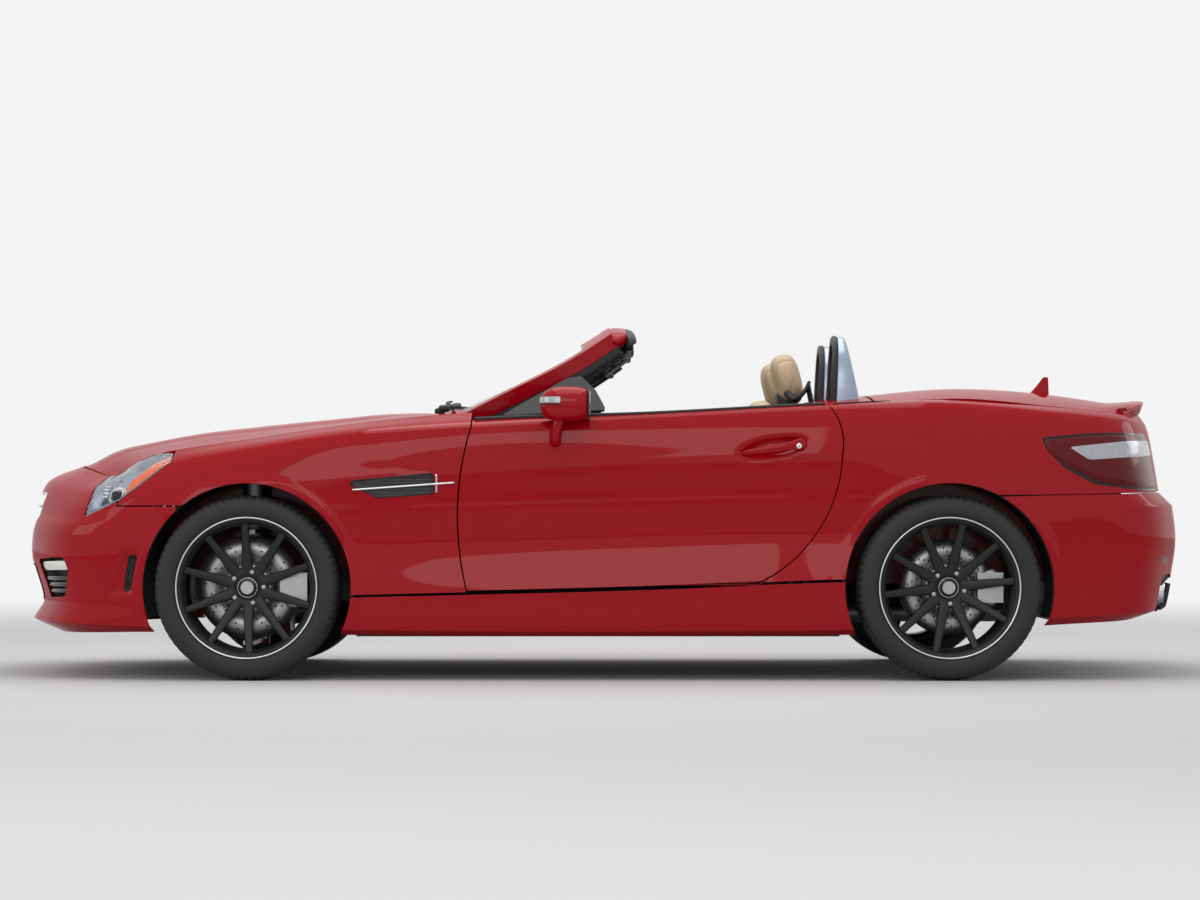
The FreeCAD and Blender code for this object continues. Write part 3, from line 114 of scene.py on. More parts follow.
def finishEdges(piece, wall=0.0, edge=0.0, segments=2, angle=50):
    # wall is a thickness inwards from the surface, edge rounds the sharp edges
    if wall:
        solid = piece.modifiers.new("wall", "SOLIDIFY")
        solid.thickness = wall
        solid.offset = -1
    if edge:
        soft = piece.modifiers.new("edge", "BEVEL")
        soft.width = edge
        soft.segments = segments
        soft.limit_method = "ANGLE"
        soft.angle_limit = math.radians(angle)
        soft.harden_normals = True
    return piece


def gridPiece(name, grid, material, replaced=(), flip=False, closeRows=False, closeColumns=False,
        caps=False, merge=0, outward=False, wall=0, edge=0, segments=2, angle=50, body="car_body"):
    # one piece from a grid of points; caps fills both ends of a closed tube with fans round their middles
    grid = np.asarray(grid, float)
    rows, columns = grid.shape[:2]
    faces = gridFaces(rows, columns, closeRows, closeColumns or caps)
    points = grid.reshape(-1, 3)
    if caps:
        points = np.vstack([points, grid[0].mean(0), grid[-1].mean(0)])
        j = np.arange(columns)
        k = (j + 1) % columns
        first, final = np.full(columns, rows * columns), np.full(columns, rows * columns + 1)
        shift = (rows - 1) * columns
        faces = np.vstack([faces, np.stack([j, k, first, first], 1), np.stack([k + shift, j + shift, final, final], 1)])
    if flip:
        faces = np.where((faces[:, 2] == faces[:, 3])[:, None], faces[:, [1, 0, 2, 3]], faces[:, ::-1])
    piece = meshPiece(name, points, faces, material, body, replaced, merge, outward or caps)
    return finishEdges(piece, wall, edge, segments, angle)


def circle(count):
    # even angles once round
    return np.linspace(0, 2 * np.pi, count, endpoint=False)


def runOf(path):
    # the distance along a path at each of its points
    return np.concatenate([[0], np.cumsum(np.linalg.norm(np.diff(path, axis=0), axis=1))])


def unit(ways):
    return ways / np.linalg.norm(ways, axis=-1, keepdims=True)


def join(*parts):
    # coordinates side by side, each first spread to the shape that they share
    return np.stack(np.broadcast_arrays(*parts), -1)


def hermite(a, b, slopeA, slopeB, h, f):
    # a cubic over a step h from a to b with a slope at each end, at the share f of the step
    return (a * (2 * f**3 - 3 * f**2 + 1) + slopeA * h * (f**3 - 2 * f**2 + f)
            + b * (3 * f**2 - 2 * f**3) + slopeB * h * (f**3 - f**2))


def cubic(at, points, slope, t):
    # cubic pieces with given values and slopes at the knots
    i = np.clip(np.searchsorted(at, t, side="right") - 1, 0, len(at) - 2)
    h = (at[i + 1] - at[i])[:, None]
    f = (t - at[i])[:, None] / h
    return hermite(points[i], points[i + 1], slope[i], slope[i + 1], h, f)


def smoothPath(points, count):
    # a curve through the points, cubic between neighbours, sampled at even distances
    points = np.asarray(points, float)
    if len(points) == 2:
        return points[0] + (points[1] - points[0]) * np.linspace(0, 1, count)[:, None]
    at = runOf(points)
    dense = cubic(at, points, np.gradient(points, at, axis=0), np.linspace(0, at[-1], 24 * len(points)))
    run = runOf(dense)
    want = np.linspace(0, run[-1], count)
    return np.stack([np.interp(want, run, dense[:, k]) for k in range(points.shape[1])], 1)


def curveAt(table, t):
    # a smooth curve through rows of (t, values)
    table = np.asarray(table, float)
    at, values = table[:, 0], table[:, 1:]
    t = np.asarray(t, float)
    found = cubic(at, values, np.gradient(values, at, axis=0), np.clip(t.ravel(), at[0], at[-1]))
    return found.reshape(t.shape + (values.shape[1],))


def ramp(x, low, high):
    # 0 below low, 1 above high, smooth between
    f = np.clip((np.asarray(x, float) - low) / (high - low), 0, 1)
    return f * f * (3 - 2 * f)


def sweep(path, section, up=(0, 0, 1), scale=1.0):
    # a section of (across, up) pairs carried along a path, square to it
    path, section = np.asarray(path, float), np.asarray(section, float)
    ahead = unit(np.gradient(path, axis=0))
    across = unit(np.cross(ahead, np.asarray(up, float)))
    lift = np.cross(across, ahead)
    scale = np.asarray(scale, float)
    size = np.broadcast_to(scale[:, None] if scale.ndim > 1 else scale.reshape(-1, 1, 1), (len(path), 1, 2))
    section = section * size
    return path[:, None] + across[:, None] * section[..., :1] + lift[:, None] * section[..., 1:]


def oval(width, height, power=2.0, count=20):
    # a closed superellipse, round at 2 and squarer above
    a = circle(count)
    c, s = np.cos(a), np.sin(a)
    return join(width / 2 * np.sign(c) * np.abs(c) ** (2 / power), height / 2 * np.sign(s) * np.abs(s) ** (2 / power))


def lathe(profile, centre, side, count=96):
    # a profile of (outboard, radius) turned about a wheel's axis, one row for each angle
    profile = np.asarray(profile, float)
    a = circle(count)[:, None]
    along, out = profile.T
    return join(centre[0] + out * np.cos(a), centre[1] + side * along, centre[2] + out * np.sin(a))


def coons(front, back, left, right):
    # a patch between four curves that meet at its corners: both rulings less the flat patch of the corners
    front, back, left, right = (np.asarray(c, float) for c in (front, back, left, right))
    u = np.linspace(0, 1, len(front))[:, None, None]
    v = np.linspace(0, 1, len(left))[None, :, None]
    return (front[:, None] * (1 - v) + back[:, None] * v + left[None] * (1 - u) + right[None] * u
            - (left[0] * (1 - u) * (1 - v) + left[-1] * (1 - u) * v + right[0] * u * (1 - v) + right[-1] * u * v))


def outline(items, corner=0.0):
    # a closed outline in millimetres: a pair is a straight edge's end, a pair of pairs an arc's middle and end
    start = np.array(items[0], float)
    points = [start]
    for item in items[1:]:
        if np.ndim(item[0]):
            middle, end = np.array(item, float)
            a, b = middle - start, end - start
            cross = 2 * (a[0] * b[1] - a[1] * b[0])
            centre = start + np.array([b[1] * (a @ a) - a[1] * (b @ b), a[0] * (b @ b) - b[0] * (a @ a)]) / cross
            turn = [math.atan2(*(p - centre)[::-1]) for p in (start, middle, end)]
            whole = (turn[2] - turn[0]) % (2 * math.pi)
            if (turn[1] - turn[0]) % (2 * math.pi) > whole:
                whole -= 2 * math.pi
            radius = np.linalg.norm(start - centre)
            steps = turn[0] + whole * np.linspace(0, 1, 25)[1:]
            points.extend(centre + radius * join(np.cos(steps), np.sin(steps)))
            start = end
        else:
            start = np.array(item, float)
            points.append(start)
    points = np.array(points) / 1000
    if not corner: return points
    # each corner becomes a short curve between points on both of its edges
    before, after = np.roll(points, 1, 0) - points, np.roll(points, -1, 0) - points
    reach = [np.minimum(corner, 0.45 * np.linalg.norm(d, axis=1))[:, None] * d / np.linalg.norm(d, axis=1)[:, None]
        for d in (before, after)]
    t = np.linspace(0, 1, 6)[None, :, None]
    a, b, c = (points + reach[0])[:, None], points[:, None], (points + reach[1])[:, None]
    return (a * (1 - t) ** 2 + 2 * b * t * (1 - t) + c * t**2).reshape(-1, 2)


def distanceTo(points, polygon):
    # distance to a closed outline, negative inside it, and the nearest point on it
    a, b = polygon, np.roll(polygon, -1, 0)
    d = b - a
    w = points[:, None] - a[None]
    t = np.clip((w * d).sum(-1) / np.maximum((d * d).sum(-1), 1e-12), 0, 1)
    near = a + d * t[..., None]
    gap = np.linalg.norm(points[:, None] - near, axis=-1)
    k = gap.argmin(1)
    x, y = points[:, :1], points[:, 1:]
    spans = (a[:, 1] > y) != (b[:, 1] > y)
    with np.errstate(divide="ignore", invalid="ignore"):
        cross = a[:, 0] + (y - a[:, 1]) * d[:, 0] / d[:, 1]
    inside = (spans & (x < cross)).sum(1) % 2 == 1
    row = np.arange(len(points))
    return np.where(inside, -1, 1) * gap[row, k], near[row, k]


def roundedBlock(rise, turn, power):
    # a superellipsoid of half size 1 at angles up and round: a ball at power 2 and a rounded block above it
    bent = lambda t: np.sign(t) * np.abs(t) ** (2 / power)
    u, v = rise[:, None], turn[None]
    return join(bent(np.cos(u)) * bent(np.cos(v)), bent(np.cos(u)) * bent(np.sin(v)), bent(np.sin(u)))


def lump(centre, size, power=4.0, rows=17, columns=32):
    # a closed superellipsoid, its sizes in metres
    return roundedBlock(np.linspace(-np.pi / 2, np.pi / 2, rows), circle(columns), power) * np.array(size) / 2 + np.array(centre)


def spun(profile, centre, axis, count=48):
    # a profile of (along, radius) turned about an axis that lies in the car's upright plane
    profile, axis = np.asarray(profile, float), np.asarray(axis, float) / np.linalg.norm(axis)
    across = np.array([0, 1.0, 0])
    a = circle(count)[:, None, None]
    ring = across * np.cos(a) + np.cross(axis, across) * np.sin(a)
    return np.asarray(centre) + axis * profile[None, :, :1] + ring * profile[None, :, 1:]


def roundPiece(name, grid, material, replaced=(), closed=True, **more):
    # rows of points once round an axis; closed joins the profile's ends too
    return gridPiece(name, grid, material, replaced, closeRows=True, closeColumns=closed, outward=True, **more)


def ballPiece(name, grid, material, replaced=(), **more):
    # rings of points from pole to pole
    return gridPiece(name, grid, material, replaced, closeColumns=True, merge=1e-5, outward=True, **more)


def spunPiece(name, profile, centre, axis, material, closed=True, count=48, replaced=(), body="car_body"):
    return roundPiece(name, spun(profile, centre, axis, count), material, replaced, closed, merge=1e-5, body=body)


def lumpPiece(name, centre, size, material, power=4.0, replaced=(), tilt=0.0, rows=17, columns=32, body="car_body"):
    grid = tilted(lump(centre, size, power, rows, columns), tilt, centre)
    return ballPiece(name, grid, material, replaced, body=body)


def tilted(grid, degrees, centre):
    # turned about the car's cross axis through a centre; positive lifts the front
    c, s = math.cos(math.radians(degrees)), math.sin(math.radians(degrees))
    grid = np.asarray(grid, float) - centre
    return join(grid[..., 0] * c + grid[..., 2] * s, grid[..., 1], -grid[..., 0] * s + grid[..., 2] * c) + centre


def tube(name, path, section, material, up=(0, 0, 1), count=48, scale=1.0, body="car_body"):
    # an oval given by its numbers, or a section of points, carried along a smooth path and closed at both ends
    section = oval(*section) if isinstance(section, tuple) else section
    return gridPiece(name, sweep(smoothPath(path, count), section, up, scale), material, caps=True, body=body)


def ringTube(name, path, section, material, up=(0, 0, 1), **more):
    # an oval given by its numbers, carried round a closed path
    path = np.asarray(path, float)
    whole = sweep(np.concatenate([path[-3:], path, path[:3]]), oval(*section), up)[3:-3]
    return roundPiece(name, whole, material, **more)


def resample(polygon, count):
    # even points round a closed outline
    closed = np.concatenate([polygon, polygon[:1]])
    run = runOf(closed)
    want = np.linspace(0, run[-1], count, endpoint=False)
    return np.stack([np.interp(want, run, closed[:, k]) for k in range(2)], 1)


def newNodes(tree, *kinds):
    return [tree.nodes.new("ShaderNode" + kind) for kind in kinds]


def wire(tree, *wires):
    # each wire runs from a node's output to a node's input
    for start, output, end, entry in wires:
        tree.links.new(start.outputs[output], end.inputs[entry])


def put(node, **values):
    # values of a node's inputs, with an underscore for each space in a name
    for entry, value in values.items():
        node.inputs[entry.replace("_", " ")].default_value = value


def finish(name, colour, rough=0.5, metal=0.0, coat=0.0, grain=0.0, grainSize=200.0, mottle=0.1, mottleSize=6.0,
        roughSpread=0, **sockets):
    # a surface whose colour, roughness and fine relief vary with noise on object coordinates
    material = bpy.data.materials.new(name)
    material.use_nodes = True
    tree = material.node_tree
    shader = tree.nodes["Principled BSDF"]
    put(shader, Base_Color=(*colour, 1), Roughness=rough, Metallic=metal, Coat_Weight=coat, Coat_Roughness=0.03, **sockets)
    where, noise, mix = newNodes(tree, "TexCoord", "TexNoise", "Mix")
    put(noise, Scale=mottleSize, Detail=5)
    mix.data_type = "RGBA"
    mix.inputs[6].default_value = (*[c * (1 - mottle) for c in colour], 1)
    mix.inputs[7].default_value = (*[min(c * (1 + mottle), 1) for c in colour], 1)
    wire(tree, (where, "Object", noise, "Vector"), (noise, "Fac", mix, 0), (mix, 2, shader, "Base Color"))
    if roughSpread:
        spread, = newNodes(tree, "MapRange")
        put(spread, To_Min=max(rough - roughSpread, 0), To_Max=rough + roughSpread)
        wire(tree, (noise, "Fac", spread, "Value"), (spread, "Result", shader, "Roughness"))
    if grain:
        fine, = newNodes(tree, "TexNoise")
        put(fine, Scale=grainSize, Detail=3)
        wire(tree, (where, "Object", fine, "Vector"))
        relief(material, fine, "Fac", grain)
    return material


def relief(material, source, output, strength, invert=False):
    tree = material.node_tree
    bump, = newNodes(tree, "Bump")
    put(bump, Strength=strength, Distance=0.0015)
    bump.invert = invert
    wire(tree, (source, output, bump, "Height"), (bump, "Normal", tree.nodes["Principled BSDF"], "Normal"))


def leather(name, colour, rough=0.48):
    # pebbled hide: the borders of small cells pressed in over slow wrinkles
    material = finish(name, colour, rough, mottle=0.12, mottleSize=9, roughSpread=0.06)
    tree = material.node_tree
    where, cells, wrinkle, add = newNodes(tree, "TexCoord", "TexVoronoi", "TexNoise", "Math")
    put(cells, Scale=420)
    put(wrinkle, Scale=60)
    wire(tree, (where, "Object", cells, "Vector"), (where, "Object", wrinkle, "Vector"), (cells, "Distance", add, 0),
        (wrinkle, "Fac", add, 1))
    relief(material, add, "Value", 0.3)
    return material


def meshGrille(name, colour, cell=90.0):
    # moulded mesh: the cells are painted dark as the shade inside the mesh's openings, between slightly lighter webs
    material = finish(name, colour, 0.45)
    tree = material.node_tree
    where, cells, tone = newNodes(tree, "TexCoord", "TexVoronoi", "ValToRGB")
    cells.feature = "DISTANCE_TO_EDGE"
    put(cells, Scale=cell, Randomness=0)
    # the dark stop at the cells' middles is painted shade of the openings
    for stop, (place, gain) in zip(tone.color_ramp.elements, ((0.06, 3), (0.2, 0.15))):
        stop.position = place
        stop.color = (*[c * gain for c in colour], 1)
    wire(tree, (where, "Object", cells, "Vector"), (cells, "Distance", tone, "Fac"),
         (tone, "Color", tree.nodes["Principled BSDF"], "Base Color"))
    relief(material, cells, "Distance", 0.8, True)
    return material


redPaint = finish("redPaint", (0.36, 0.0015, 0.008), 0.42, 0, 0.45, mottle=0.06, mottleSize=900, roughSpread=0.02,
    Specular_IOR_Level=0)
structurePaint = finish("structurePaint", (0.16, 0.006, 0.009), 0.55, coat=0.2, mottle=0.15, grain=0.15, grainSize=300)
blackPlastic = finish("blackPlastic", (0.012, 0.012, 0.013), 0.55, grain=0.25, grainSize=700, mottle=0.2, roughSpread=0.08)
glossBlack = finish("glossBlack", (0.006, 0.006, 0.007), 0.15, coat=0.25, mottle=0.15, mottleSize=40, Specular_IOR_Level=0.2)
rubber = finish("rubber", (0.02, 0.0195, 0.019), 0.72, grain=0.3, grainSize=500, mottle=0.25, mottleSize=14, roughSpread=0.1)
rimBlack = finish("rimBlack", (0.012, 0.0125, 0.013), 0.4, 0.3, mottle=0.2, mottleSize=30, grain=0.05, grainSize=900)
machined = finish("machined", (0.66, 0.67, 0.69), 0.24, 1, mottle=0.08, mottleSize=300, roughSpread=0.05)
chrome = finish("chrome", (0.75, 0.76, 0.78), 0.07, 1, roughSpread=0.02, mottle=0.04, mottleSize=20)
discIron = finish("discIron", (0.36, 0.36, 0.37), 0.36, 1, mottle=0.15, mottleSize=90, grain=0.1, grainSize=900)
castAlloy = finish("castAlloy", (0.42, 0.43, 0.44), 0.4, 0.9, mottle=0.15, mottleSize=30, grain=0.2, grainSize=600)
engineGrey = finish("engineGrey", (0.11, 0.11, 0.115), 0.5, 0.5, mottle=0.25, grain=0.3, grainSize=200)
beigeLeather = leather("beigeLeather", (0.56, 0.41, 0.26))
blackLeather = leather("blackLeather", (0.016, 0.016, 0.017), 0.5)
hoopSilver = finish("hoopSilver", (0.32, 0.38, 0.48), 0.28, 0.75, 0.5, mottle=0.06, mottleSize=60)
carpet = finish("carpet", (0.02, 0.02, 0.022), 0.95, grain=0.9, grainSize=900, mottle=0.35, mottleSize=80)
glass = finish("glass", (0.9, 0.95, 0.94), 0.02, mottle=0.01, Transmission_Weight=1, IOR=1.45, Alpha=0.3, roughSpread=0.004)
lampGlass = finish("lampGlass", (0.95, 0.97, 1), 0.02, mottle=0.01, Transmission_Weight=1, IOR=1.2, Alpha=0.25, roughSpread=0.004)
lampChrome = finish("lampChrome", (0.2, 0.235, 0.29), 0.22, 1, mottle=0.35, mottleSize=18, roughSpread=0.08)
amber = finish("amber", (0.85, 0.13, 0.015), 0.22, coat=0.8, mottle=0.15, mottleSize=120, grain=0.4, grainSize=160)
tailRed = finish("tailRed", (0.12, 0.001, 0.004), 0.25, coat=0.3, mottle=0.2, mottleSize=40, grain=0.1, grainSize=250,
    Specular_IOR_Level=0.1)
tailClear = finish("tailClear", (0.4, 0.41, 0.44), 0.2, 0.3, coat=0.6, mottle=0.25, mottleSize=60, grain=0.5, grainSize=120)
lampWhite = finish("lampWhite", (0.85, 0.84, 0.78), 0.2, coat=0.8, mottle=0.12, mottleSize=150)
plateWhite = finish("plateWhite", (0.62, 0.62, 0.6), 0.35, coat=0.3, mottle=0.04, mottleSize=30, grain=0.05)
meshBlack = meshGrille("meshBlack", (0.02, 0.02, 0.021))
print("finishes made")

# The body's skin follows nine lines from nose to tail. Rows give x, then how far each line lies inside the half width, and its height.
bodyShape = {
    "halfWidth": 908, "nose": -2070, "tail": 2070, "sections": [
        (-1560, [(118, 165), (50, 185), (48, 262), (40, 465), (44, 560), (44, 572), (60, 650), (108, 738), (208, 785)]),
        (-1225, [(108, 160), (23, 180), (15, 275), (12, 480), (12, 580), (12, 592), (15, 680), (58, 800), (186, 838)]),
        (-850, [(93, 155), (23, 175), (15, 290), (26, 480), (20, 590), (20, 602), (18, 700), (46, 855), (193, 893)]),
        (-460, [(93, 152), (28, 170), (20, 300), (40, 480), (30, 600), (30, 612), (26, 722), (42, 880), (203, 930)]),
        (185, [(93, 152), (26, 170), (16, 318), (40, 490), (32, 620), (32, 632), (26, 765), (50, 918), (166, 926)]),
        (830, [(93, 155), (18, 175), (6, 345), (26, 500), (18, 630), (18, 642), (15, 788), (50, 950), (163, 960)]),
        (1205, [(78, 165), (3, 185), (0, 350), (0, 510), (0, 620), (0, 632), (5, 790), (50, 958), (138, 974)]),
        (1580, [(108, 190), (40, 215), (28, 340), (22, 500), (22, 600), (26, 640), (34, 762), (92, 928), (178, 950)]), ],
    # on the centre line: how far behind the nose or ahead of the tail, and the height
    "noseLine": [(110, 150), (8, 205), (45, 262), (0, 430), (6, 560), (7, 572), (12, 630), (35, 690), (165, 752)],
    "tailLine": [(120, 215), (40, 245), (22, 330), (0, 500), (12, 605), (58, 652), (74, 760), (98, 890), (130, 950)],
    "noseCorner": [160, 195, 262, 445, 545, 557, 605, 660, 713],
    "tailCorner": [202, 230, 335, 500, 603, 645, 757, 905, 938],
    "noseSquare": [2.3, 2.4, 2.4, 2.4, 2.2, 2.1, 1.9, 1.75, 1.7],
    "tailSquare": [3, 3, 3, 3, 3, 2.9, 2.8, 2.7, 2.6],
    # how sharply each line breaks the surface, from nose to tail
    "sharp": [
        (0,) * 14, (0.8,) * 14, (0.5, 0.5, 0.5) + (0.75,) * 8 + (0.4, 0.3, 0.3), (0,) * 14,
        (0,) * 9 + (0.1, 0.5, 0.9, 0.95, 0.95), (0,) * 9 + (0.2, 0.6, 0.9, 0.95, 0.95),
        (0.2, 0.2, 0.2, 0.3, 0.4, 0.8, 0.6, 0.25, 0.1, 0.1, 0.1, 0.1, 0.1, 0.1),
        (0.2, 0.2, 0.2, 0.3, 0.35, 0.45, 0.5, 0.5, 0.45, 0.4, 0.4, 0.4, 0.4, 0.4), (0,) * 14, ],
    "archX": (-1225, 1205), "archZ": 320, "arch": 362, "lip": 4, "gap": 5, }


def bodyKnots():
    # knots of the nine lines: round each end they follow a superellipse between the centre line and the side
    shape = bodyShape
    half = shape["halfWidth"]
    rows = np.array([row for x, row in shape["sections"]], float)
    xs = np.array([x for x, row in shape["sections"]], float)
    side = join(xs[:, None], half - rows[..., 0], rows[..., 1])
    ends = []
    for name, sense, x0, row in (("nose", 1, xs[0], rows[0]), ("tail", -1, xs[-1], rows[-1])):
        back, height = np.array(shape[name + "Line"], float).T
        corner, square = np.array(shape[name + "Corner"]), np.array(shape[name + "Square"])
        tip = shape[name] + sense * back
        knots = [join(tip, 0, height)]
        for turn, share in ((30, 0.4), (58, 1)):
            along = math.cos(math.radians(turn)) ** (2 / square)
            out = math.sin(math.radians(turn)) ** (2 / square)
            knots.append(join(x0 + (tip - x0) * along, (half - row[:, 0]) * out, height + (corner - height) * share))
        ends.append(np.array(knots))
    return np.concatenate([ends[0], side, ends[1][::-1]]) / 1000


lineKnots = bodyKnots()
knotRun = runOf(lineKnots[:, 3])
mirror = np.array([1, -1, 1.0])
roundKnots = np.concatenate([lineKnots[1:2] * mirror, lineKnots, lineKnots[12:13] * mirror])
roundRun = np.concatenate([[-knotRun[1]], knotRun, [2 * knotRun[13] - knotRun[12]]])
step = np.diff(roundRun)[:, None, None]
chordSlope = np.diff(roundKnots, axis=0) / step
lineSlopes = (chordSlope[:-1] * step[1:] + chordSlope[1:] * step[:-1]) / (step[:-1] + step[1:])
lineSharp = np.array(bodyShape["sharp"]).T


def bodyAt(place, line, side=1):
    # the skin at a place along the lines (0 nose, 13 tail, negative on the left of the nose) and across them (0 to 8)
    place, line = np.broadcast_arrays(np.asarray(place, float), np.asarray(line, float))
    form = place.shape
    place, line = place.ravel(), np.clip(line.ravel(), 0, 8)
    hand = np.where((place < 0) | (place > 13), -1.0, 1.0) * side
    place = np.abs(place)
    place = np.where(place > 13, 26 - place, place)
    i = np.clip(place.astype(int), 0, 12)
    f = (place - i)[:, None, None]
    h = np.diff(knotRun)[i][:, None, None]
    lines = hermite(lineKnots[i], lineKnots[i + 1], lineSlopes[i], lineSlopes[i + 1], h, f)
    sharp = lineSharp[i] + (lineSharp[i + 1] - lineSharp[i]) * f[:, 0]
    away = np.diff(lines, axis=1)
    gap = np.linalg.norm(away, axis=-1)[..., None]
    chord = away / gap
    soft = np.concatenate([chord[:, :1], (chord[:, :-1] * gap[:, 1:] + chord[:, 1:] * gap[:, :-1]) / (gap[:, :-1] + gap[:, 1:]),
        chord[:, -1:]], 1)
    n = np.arange(len(place))
    k = np.clip(line.astype(int), 0, 7)
    f = (line - k)[:, None]
    begin = soft[n, k] + (chord[n, k] - soft[n, k]) * sharp[n, k][:, None]
    end = soft[n, k + 1] + (chord[n, k] - soft[n, k + 1]) * sharp[n, k + 1][:, None]
    h = gap[n, k]
    p = hermite(lines[n, k], lines[n, k + 1], begin, end, h, f)
    # outside a narrow band along each wheel arch the skin dips a little and comes back, so the band stands out as a lip
    for x in bodyShape["archX"]:
        d = np.hypot(p[:, 0] - x / 1000, p[:, 2] - bodyShape["archZ"] / 1000) - bodyShape["arch"] / 1000
        dip = ramp(d, 0.022, 0.036) * (1 - ramp(d, 0.1, 0.3)) * bodyShape["lip"] / 1000
        p[:, 1] -= dip * (np.abs(p[:, 1]) > 0.6)
    p[:, 1] *= hand
    return p.reshape(form + (3,))


def normalAt(place, line, side=1):
    # outward direction of the skin, from its slopes along and across the lines
    e = 1e-3
    along = bodyAt(place + e, line, side) - bodyAt(place - e, line, side)
    low, high = np.clip(line - e, 0, 8), np.clip(line + e, 0, 8)
    across = bodyAt(place, high, side) - bodyAt(place, low, side)
    n = np.cross(along, across) * -side
    return n / np.maximum(np.linalg.norm(n, axis=-1, keepdims=True), 1e-12)


coarsePlace, coarseLine = np.meshgrid(np.linspace(0, 13, 261), np.linspace(0, 8, 81), indexing="ij")
coarseSkin = bodyAt(coarsePlace, coarseLine)


def locate(target, view="side", start=None):
    # place and line of the skin's points seen at (x, z) from the side or (y, z) from an end, by Newton's method
    axes = [0, 2] if view == "side" else [1, 2]
    target = np.atleast_2d(np.asarray(target, float))
    if start is None:
        flat = coarseSkin[..., axes].reshape(-1, 2)
        near = np.array([((flat - t) ** 2).sum(1).argmin() for t in target])
        start = join(coarsePlace.ravel()[near], coarseLine.ravel()[near])
    found = np.array(start, float)
    e = 1e-4
    for turn in range(10):
        here = bodyAt(found[:, 0], found[:, 1])[:, axes]
        along = (bodyAt(found[:, 0] + e, found[:, 1])[:, axes] - here) / e
        down = np.where(found[:, 1] > 7.9, -e, e)
        across = (bodyAt(found[:, 0], found[:, 1] + down)[:, axes] - here) / down[:, None]
        miss = target - here
        size = along[:, 0] * across[:, 1] - along[:, 1] * across[:, 0]
        size = np.where(np.abs(size) < 1e-9, 1e-9, size)
        move = join(miss[:, 0] * across[:, 1] - miss[:, 1] * across[:, 0], along[:, 0] * miss[:, 1] - along[:, 1] * miss[:, 0])
        move /= size[:, None]
        found += np.clip(move, -0.3, 0.3)
        found[:, 1] = np.clip(found[:, 1], 0, 8)
    return found


def placeAt(x, line):
    # place along a body line at a given x on the side
    p = np.linspace(0, 13, 1301)
    return float(np.interp(x / 1000, bodyAt(p, line)[:, 0], p))


def samples(low, high, line=None, place=None, spacing=0.009):
    # even steps of about the spacing, along a line or across the lines; whole numbers across the lines stay
    t = np.linspace(low, high, 400)
    p = bodyAt(t, line) if line is not None else bodyAt(place, t)
    run = runOf(p)
    found = np.interp(np.linspace(0, run[-1], max(int(run[-1] / spacing), 2) + 1), run, t)
    if place is not None:
        for whole in range(math.ceil(low + 0.05), math.floor(high - 0.05) + 1):
            found[np.abs(found - whole).argmin()] = whole
    return found


def span(low, high, line, **more):
    # even steps between two x, in millimetres, along a body line
    return samples(placeAt(low, line), placeAt(high, line), line=line, **more)


def trimGrid(points, rules):
    # which faces of a grid lie inside the kept outlines and outside the cut ones, and where their border points belong
    # an outline is seen from the side, from an end with both halves folded onto one, or from the front
    axes = {"side": [0, 2], "end": [1, 2], "front": [1, 2]}

    def beyond(found):
        worst, target, which = np.full(len(found), -1.0), np.zeros((len(found), 2)), np.zeros(len(found), int)
        for k, (view, polygon, sign) in enumerate(rules):
            seen = found[:, axes[view]]
            if view == "end":
                seen = np.abs(seen)
            near = (seen >= polygon.min(0) - 0.03).all(1) & (seen <= polygon.max(0) + 0.03).all(1)
            far, spot = np.full(len(found), 0.03 * sign), np.zeros((len(found), 2))
            if near.any():
                far[near], spot[near] = distanceTo(seen[near], polygon)
                far[near] *= sign
            better = far > worst
            worst[better], target[better], which[better] = far[better], spot[better], k
        return worst, target, which

    worst, target, which = beyond(points.reshape(-1, 3))
    centre = (points[:-1, :-1] + points[1:, :-1] + points[1:, 1:] + points[:-1, 1:]) / 4
    kept = (beyond(centre.reshape(-1, 3))[0] < 0).reshape(centre.shape[:2])
    counts = []
    for each in (kept, np.ones_like(kept)):
        each = np.pad(each, 1).astype(int)
        counts.append((each[:-1, :-1] + each[1:, :-1] + each[:-1, 1:] + each[1:, 1:]).ravel())
    border = (counts[0] > 0) & (counts[0] < counts[1])
    return kept.ravel(), border, worst, target, which


def keptFaces(shape, kept, points, flip):
    faces = gridFaces(*shape)[kept]
    used = np.unique(faces)
    index = np.full(len(points), -1)
    index[used] = np.arange(len(used))
    faces = index[faces]
    return points[used], faces[:, ::-1] if flip else faces


